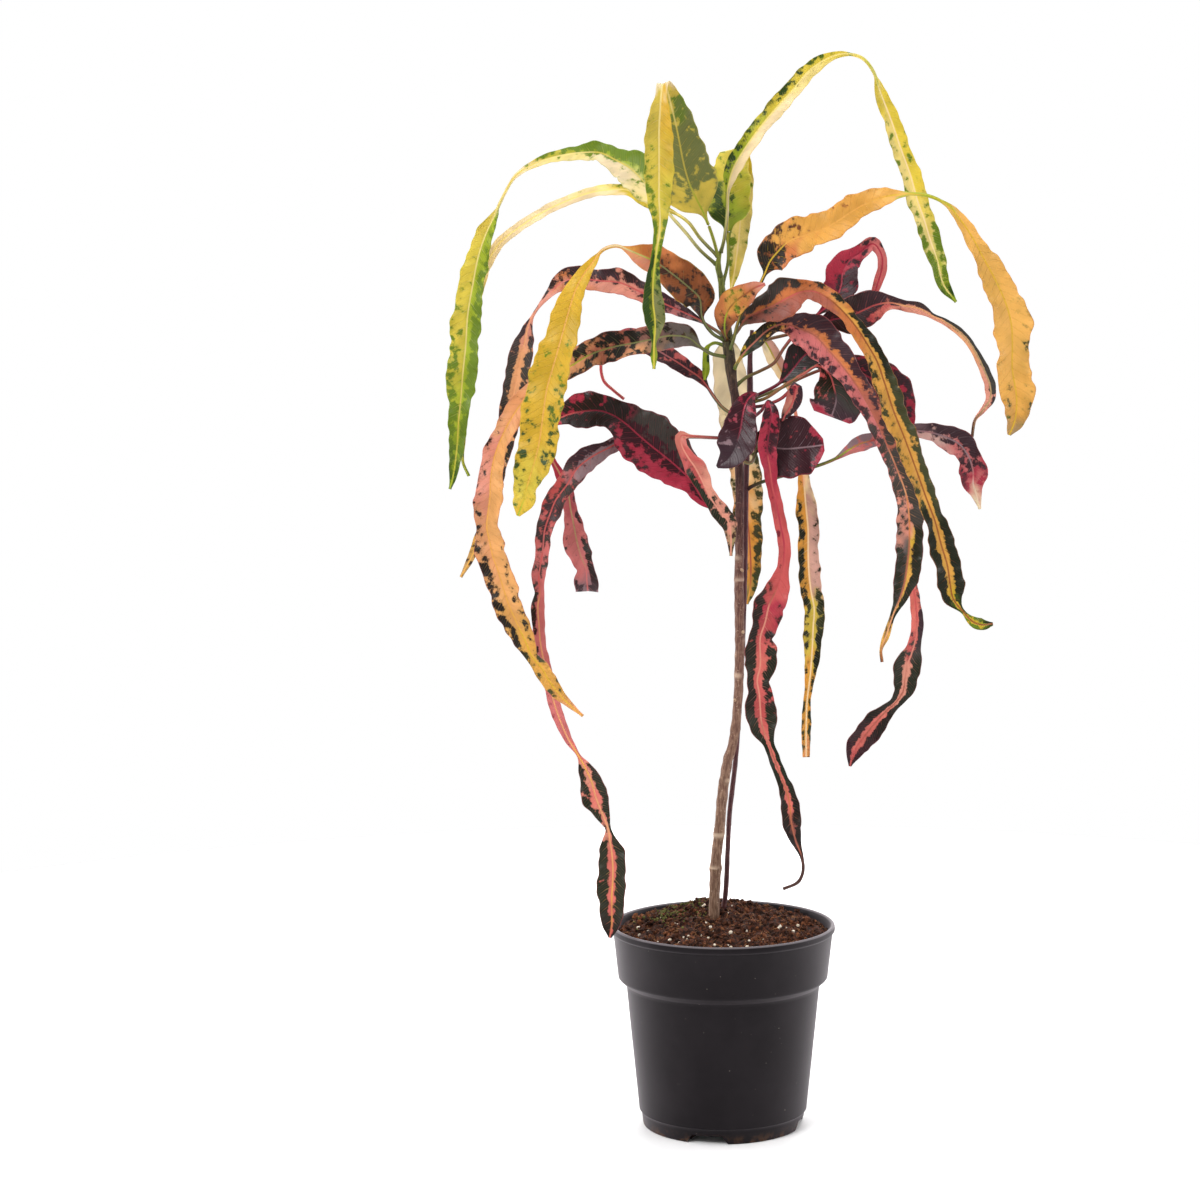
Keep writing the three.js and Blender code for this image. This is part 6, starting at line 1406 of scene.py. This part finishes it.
def build_stem(name, node, stations, bark, material, scars, rough):
    """A stem with swollen leaf scars. It returns its axis and radii, for the leaves to start on."""
    axis, radii, rows = stem_axis(stations)
    turns = np.arange(STEM_SIDES) * 2 * math.pi / STEM_SIDES
    rings, pale = [], []
    for at, radius, row in zip(axis, radii, rows):
        near = min([abs(row - scar) for scar in scars] + [FAR_AWAY])
        swell = 1 + SCAR_SWELL * math.exp(-((near / SWELL_ROWS) ** 2))
        ridges = [noise.noise(Vector((math.cos(a) * 1.3, math.sin(a) * 1.3, at[2] * 0.13))) for a in turns]
        reach = radius * swell * (1 + rough * np.array(ridges))
        ring = [at[0] + np.cos(turns) * reach, at[1] + np.sin(turns) * reach, at[2] + 0 * turns]
        rings.append(np.stack(ring, axis=1))
        scar = math.exp(-((near / SCAR_ROWS) ** 2)) * (1 if row > SCAR_CHANGE else FAINT_SCAR)
        sided = np.clip(0.35 + 0.9 * np.sin(turns + round(row / 9) * 2.4), 0, 1)
        pale.append(scar * sided)
    points, faces = tube([rings[0] - np.array([0, 0, BURIED]), *rings])
    piece = make_piece(name, points, faces, material, node)
    rows = np.repeat([rows[0], *rows], STEM_SIDES)
    share = np.concatenate([0 * turns, *pale])[:, None]
    order = sorted(bark, key=lambda b: b[0])
    levels = [b[0] for b in order]
    layers = []
    for k in (1, 2, 3):
        layers.append(np.stack([np.interp(rows, levels, [b[k][c] for b in order]) for c in range(3)], axis=1))
    ground, marks, flecks = layers
    set_colour(piece, "ground", lerp(ground, flecks, share * SCAR_SHARE))
    set_colour(piece, "marks", lerp(marks, flecks, share * SCAR_SHARE))
    set_colour(piece, "rib", flecks)
    return axis, radii


def build_buds(material):
    """Dormant buds and old leaf scars that stand out of the trunk's front."""
    rng = np.random.default_rng(5)
    lumps = [pebble(rng, seen(column, row, -3.2), 1.5, (0.8, 0.8, 1.2), 0.12) for column, row in TRUNK_BUDS]
    scatter("buds", material, lumps, "main_stem", smooth=True)


# ------------------------------------------------------------------ leaves

U_STEPS = [0, 0.07, 0.16, 0.32, 0.5, 0.68, 0.83, 0.93, 1]     # from the midrib to an edge
U = np.array([-u for u in reversed(U_STEPS[1:])] + U_STEPS)   # from the low edge to the high one
SIZE = np.abs(U)
HIGH = U > 0
RING_U = np.concatenate([U, U[::-1]])        # a ring goes along the underside and back over the top
RING_UNDER = np.concatenate([np.ones(len(U)), np.zeros(len(U))])

ROUNDING = 2.4                     # mm over which corners in a leaf's width are rounded
SEAT_DEPTH = 0.5                   # mm of a petiole inside the bark
SEAT_TILT = 0.3
LEAST_COSINE = 0.4
FOOT_SWELL, FOOT_REACH = 0.55, 2.2
PETIOLE_EDGE = 0.9                 # mm thick at the petiole's sides
FULL_WAVE = 20                     # mm of width at which a blade waves in full
RUFFLE = 0.42
QUILT = 0.22                       # mm that the blade rises between veins
GROOVE, GROOVE_WIDTH, GROOVE_UNDER = 0.35, 0.8, 0.6

# pairs are for the high edge and the low edge
WAVE_RATES, WAVE_SHIFTS = (1, 1.13), (0, 1.9)
CRIMP_RATES, RIPPLE_RATES, RIPPLE = (2.7, 2.3), (4.9, 4.3), 0.6
LONG_RUN, LONG_RUN_LENGTH = 0.035, 3.9
SHORT_RUN, SHORT_RUN_LENGTH = 0.03, 1.9


def roll_of(leaf, station):
    return station[4] if len(station) > 4 else leaf["roll"]


def side_direction(tangent, point, roll):
    """Across the leaf: at no roll the blade faces the eye."""
    side = unit(np.cross(tangent, unit(point - EYE)))
    turn = math.radians(roll)
    return side * math.cos(turn) + np.cross(tangent, side) * math.sin(turn)


def station_sides(leaf, curve):
    """The direction across the leaf at each station. One with no roll takes the mean of its neighbours."""
    last = len(leaf["stations"]) - 1
    sides = []
    for i, station in enumerate(leaf["stations"]):
        roll = roll_of(leaf, station)
        at, tangent = curve.at(i / last)
        sides.append(None if roll is None else side_direction(tangent, at, roll))
    for i, side in enumerate(sides):
        if side is None:
            sides[i] = unit(sides[i - 1] + sides[i + 1])
    return sides


def seat(point, following, axes):
    """The point on the nearest stem where a petiole starts, a little inside its bark."""
    axis, radii = axes
    gaps = [np.linalg.norm(at - point) - radius for at, radius in zip(axis, radii)]
    k = int(np.argmin(gaps))
    away = following - axis[k]
    away[2] *= SEAT_TILT
    return axis[k] + unit(away) * (radii[k] - SEAT_DEPTH)


def rounded(values, step):
    """The values with their corners rounded over a few millimetres, and their ends kept."""
    count = max(1, round(2 * ROUNDING / step))
    weights = np.exp(-0.5 * (np.arange(-count, count + 1) * step / ROUNDING) ** 2)
    before, after = 2 * values[0] - values[count:0:-1], 2 * values[-1] - values[-2:-count - 2:-1]
    padded = np.concatenate([before, values, after])
    return np.maximum(np.convolve(padded, weights / weights.sum(), "valid"), 0)


def edges(high, low):
    """One value on the high half of the blade, another on the low half."""
    return np.where(HIGH, high, low)


def cross_section(leaf, shift, phase, along, width):
    """How far each point of U is out and up, and where the top and the underside lie about it, in mm."""
    blade = min(1, width / FULL_BLADE)
    swell = 1 + FOOT_SWELL * math.exp(-along / FOOT_REACH) if blade < 0.3 else 1
    half = max(width, PETIOLE_WIDTH * swell * (1 - 0.25 * blade)) / 2
    middle = lerp(PETIOLE_HEIGHT * swell, RIB_HEIGHT, blade)
    edge = lerp(PETIOLE_EDGE, BLADE_HEIGHT, blade)
    thick = edge + (middle - edge) * (1 - SIZE) ** (2 if blade > 0.5 else 1)
    turn = 2 * math.pi * along / leaf["length"]
    wave = leaf["wave"] * SIZE**2 * np.sin(turn * edges(*WAVE_RATES) + shift + edges(*WAVE_SHIFTS))
    crimp = np.sin(turn * edges(*CRIMP_RATES) + edges(phase[0], phase[1]))
    crimp = crimp + RIPPLE * np.sin(turn * edges(*RIPPLE_RATES) + edges(phase[2], phase[3]))
    ruffle = RUFFLE * leaf["wave"] * SIZE**3 * crimp
    veins = np.sin(2 * math.pi * (along - VEIN_LEAN * half * SIZE) / VEIN_STEP)
    quilt = QUILT * blade * veins * SIZE * (1 - SIZE**4)
    run = LONG_RUN * np.sin(along / LONG_RUN_LENGTH + edges(phase[2], phase[3]))
    run = run + SHORT_RUN * np.sin(along / SHORT_RUN_LENGTH + edges(phase[4], phase[5]))
    reach = half * (1 + blade * run * SIZE**2)
    lift = SIZE * half * math.tan(math.radians(leaf["fold"])) * blade
    lift = lift + (wave + ruffle) * min(1, width / FULL_WAVE) + quilt
    groove = GROOVE * blade * np.exp(-((SIZE * half / GROOVE_WIDTH) ** 2))
    return half, U * reach, lift, thick / 2 - groove, thick / 2 + groove * GROOVE_UNDER


def leaf_points(name, leaf, axes):
    """Rings of points of one leaf, with where each point is on it."""
    stations = leaf["stations"]
    last = len(stations) - 1
    points = [seen(s[0], s[1], s[2] + leaf["swing"] * i / last) for i, s in enumerate(stations)]
    points[0] = seat(points[0], points[1], axes[leaf["stem"]])
    curve = Curve(points)
    sides = station_sides(leaf, curve)
    widths = []
    for station in stations:
        roll = math.radians(roll_of(leaf, station) or 0)
        widths.append(station[3] / max(LEAST_COSINE, abs(math.cos(roll))))
    cuts, total = curve.even(RING_STEP)
    places = cuts * last
    width_at = rounded(np.maximum(smooth_values(widths, places), 0), total / (len(cuts) - 1))
    rng = random.Random(name)
    phase = [rng.uniform(0, 6.28) for _ in range(8)]
    rings, where = [], []
    for k, t in enumerate(cuts):
        i = min(int(places[k]), last - 1)
        at, tangent = curve.at(t)
        side = lerp(sides[i], sides[i + 1], places[k] - i)
        side = unit(side - tangent * np.dot(side, tangent))
        normal = unit(np.cross(tangent, side))
        along = total * k / (len(cuts) - 1)
        half, reach, lift, above, under = cross_section(leaf, len(name), phase, along, width_at[k])
        out = at + np.outer(reach, side) + np.outer(lift, normal)
        upper, lower = out + np.outer(above, normal), out - np.outer(under, normal)
        rings.append(np.concatenate([lower, upper[::-1]]))
        same = np.ones(len(RING_U))
        row = [places[k] * same, along * same, RING_U * half, RING_U, RING_UNDER, width_at[k] * same]
        where.append(np.stack(row, axis=1))
    return rings, np.concatenate(where), phase


def paint_leaf(piece, name, where, phase):
    """The leaf's colours as attributes: they change smoothly from zone to zone along it."""
    place, along, across, u, under, width = where.T
    wander = 0.4 * np.sin(along / 6.1 + 3 * u + phase[6]) + 0.3 * np.sin(along / 2.7 - 5 * u + phase[7])
    place = place + wander
    zones = PAINT[name]
    levels = [z[0] for z in zones]
    rim, below, fade = FINISH.get(name, DEFAULT_FINISH)

    def blended(colours):
        return np.stack([np.interp(place, levels, [c[k] for c in colours]) for k in range(3)], axis=1)

    low = blended([z[1] for z in zones])
    high = blended([z[5] if len(z) > 5 else z[1] for z in zones])
    marks = blended([z[2] for z in zones])
    ribs = blended([z[4] for z in zones])
    ground = lerp(low, high, np.clip(u * 4 + 0.5, 0, 1)[:, None])
    covers = [np.interp(place, levels, [z[3][k] for z in zones]) for k in range(3)]
    size = np.clip((np.abs(u) - 0.1) / 0.42, 0, 1)
    cover = lerp(covers[1], np.where(u < 0, covers[0], covers[2]), size)
    dim = (under * fade)[:, None]
    below = np.array(below)
    set_colour(piece, "ground", PAINT_GAIN * lerp(ground, below, dim))
    set_colour(piece, "marks", PAINT_GAIN * lerp(marks, below * 0.6, dim))
    set_colour(piece, "rib", PAINT_GAIN * lerp(ribs, below, dim * 0.5))
    set_colour(piece, "rim", PAINT_GAIN * np.tile(rim, (len(u), 1)))
    seed = (sum(map(ord, name)) % 97) * 1.37
    slanted = along - VEIN_LEAN * np.abs(across)
    set_vector(piece, "place", np.stack([slanted * MM, across * MM, np.full(len(u), seed)], axis=1))
    set_vector(piece, "field", np.stack([cover, np.abs(u), width * MM], axis=1))


def build_leaves(axes):
    materials = {slot: leaf_material(slot, *finish) for slot, finish in LEAF_SLOTS.items()}
    for name, leaf in LEAVES.items():
        slot = SLOT_OF[name]
        rings, where, phase = leaf_points(name, leaf, axes)
        points, faces = tube(rings)
        piece = make_piece(name + "_fine", points, faces, materials[slot], name)
        paint_leaf(piece, name, where, phase)


# ------------------------------------------------------------------ build the plant

build_pot()
build_soil(grain_material("soil", rgb(26, 14, 10), rgb(84, 46, 30), 0.95))
build_grains()
bark_material = stem_material("bark", 0.75)
young_material = stem_material("young_bark", 0.55)
trunk_axis = build_stem("main_stem_fine", "main_stem", TRUNK, BARK, bark_material, TRUNK_RINGS, 0.16)
second_axis = build_stem(
    "second_stem_fine", "second_stem", SECOND_STEM, YOUNG, young_material, [], 0.1,
)
build_buds(grain_material("bud", rgb(150, 120, 96), rgb(196, 172, 144), 0.7))
build_leaves({"trunk": trunk_axis, "second": second_axis})

# ------------------------------------------------------------------ floor, light and camera

PAPER, PAPER_PALE = (0.9, 0.9, 0.9, 1), (0.93, 0.93, 0.93, 1)
FLOOR_REACH, FLOOR_SIDES = 1.25, 96

# the world's brightness, by height and from in front of the plant to behind it
HIGH_BAND, HIGH_SHARES = (0.14, 0.42), (1.0, 0.4)
FRONT_BAND, FRONT_SHARES = (-0.75, 0.1), (0.72, 1.0)

SENSOR = 36            # mm
CLIP_END = 200         # metres

WHITE = (1, 1, 1)
BLUSH = (1, 0.94, 0.97)
LIGHTS = [     # name, place, target and size in metres, watts, colour
    ("key", (-1.3, -1.7, 2.1), (0, 0, 0.45), 1.1, 54, WHITE),
    ("fill", (2.2, -1.0, 1.3), (0, 0, 0.4), 1.2, 12, WHITE),
    ("overhead", (0.1, 0.4, 2.8), (0, 0, 0), 2.6, 54, WHITE),
    ("left_edge", (-2.2, 0.9, 0.7), (0, 0, 0.3), 1.3, 30, BLUSH),
    ("right_edge", (2.2, 0.9, 0.7), (0, 0, 0.3), 1.3, 30, BLUSH),
    ("behind", (0.2, 2.0, 1.5), (0, 0, 0.55), 1.6, 46, WHITE),
]


def stage_material():
    """White paper, hardly uneven."""
    n = Nodes(bpy.data.materials.new("paper"))
    point = n.coordinate()
    base = n.mix(n.noise(point, 3), PAPER, PAPER_PALE)
    return n.finish(base, n.bump(n.noise(point, 900), 0.00002, 0.2), 0.9, 0.1)


def build_floor():
    mesh = bpy.data.meshes.new("floor")
    corners = [(FLOOR_REACH * c, FLOOR_REACH * s, 0) for c, s in circle(FLOOR_SIDES)]
    mesh.from_pydata(corners, [], [tuple(range(FLOOR_SIDES))])
    mesh.materials.append(stage_material())
    floor = add_object("floor", mesh)


def build_light(name, place, target, size, power, colour):
    lamp = bpy.data.lights.new(name, "AREA")
    lamp.shape = "SQUARE"
    lamp.size = size
    lamp.energy = power
    lamp.color = colour
    light = add_object(name, lamp)
    light.location = place
    light.rotation_euler = (Vector(target) - Vector(place)).to_track_quat("-Z", "Y").to_euler()


def build_world():
    """White behind and beside the plant, greyer in front and overhead."""
    world = bpy.data.worlds.new("studio")
    bpy.context.scene.world = world
    n = Nodes(world)
    _, depth, height = n.split(n.coordinate("Generated"))
    glow = n.times(n.step(height, *HIGH_BAND, *HIGH_SHARES), n.step(depth, *FRONT_BAND, *FRONT_SHARES))
    n.add("ShaderNodeOutputWorld", {0: n.add("ShaderNodeBackground", {"Color": glow}).outputs[0]})


def build_camera():
    lens = bpy.data.cameras.new("camera")
    lens.sensor_width = SENSOR
    lens.lens = FOCAL * SENSOR / FRAME_SIZE
    lens.shift_x = (MIDDLE - AXIS_COLUMN) / FRAME_SIZE
    lens.dof.use_dof = False
    lens.clip_end = CLIP_END
    camera = add_object("camera", lens)
    camera.location = Vector(EYE) * MM
    camera.rotation_euler = (math.pi / 2 - PITCH, 0, 0)
    bpy.context.scene.camera = camera


build_floor()
build_world()
for light in LIGHTS:
    build_light(*light)
build_camera()
bpy.context.scene.view_settings.view_transform = "Standard"
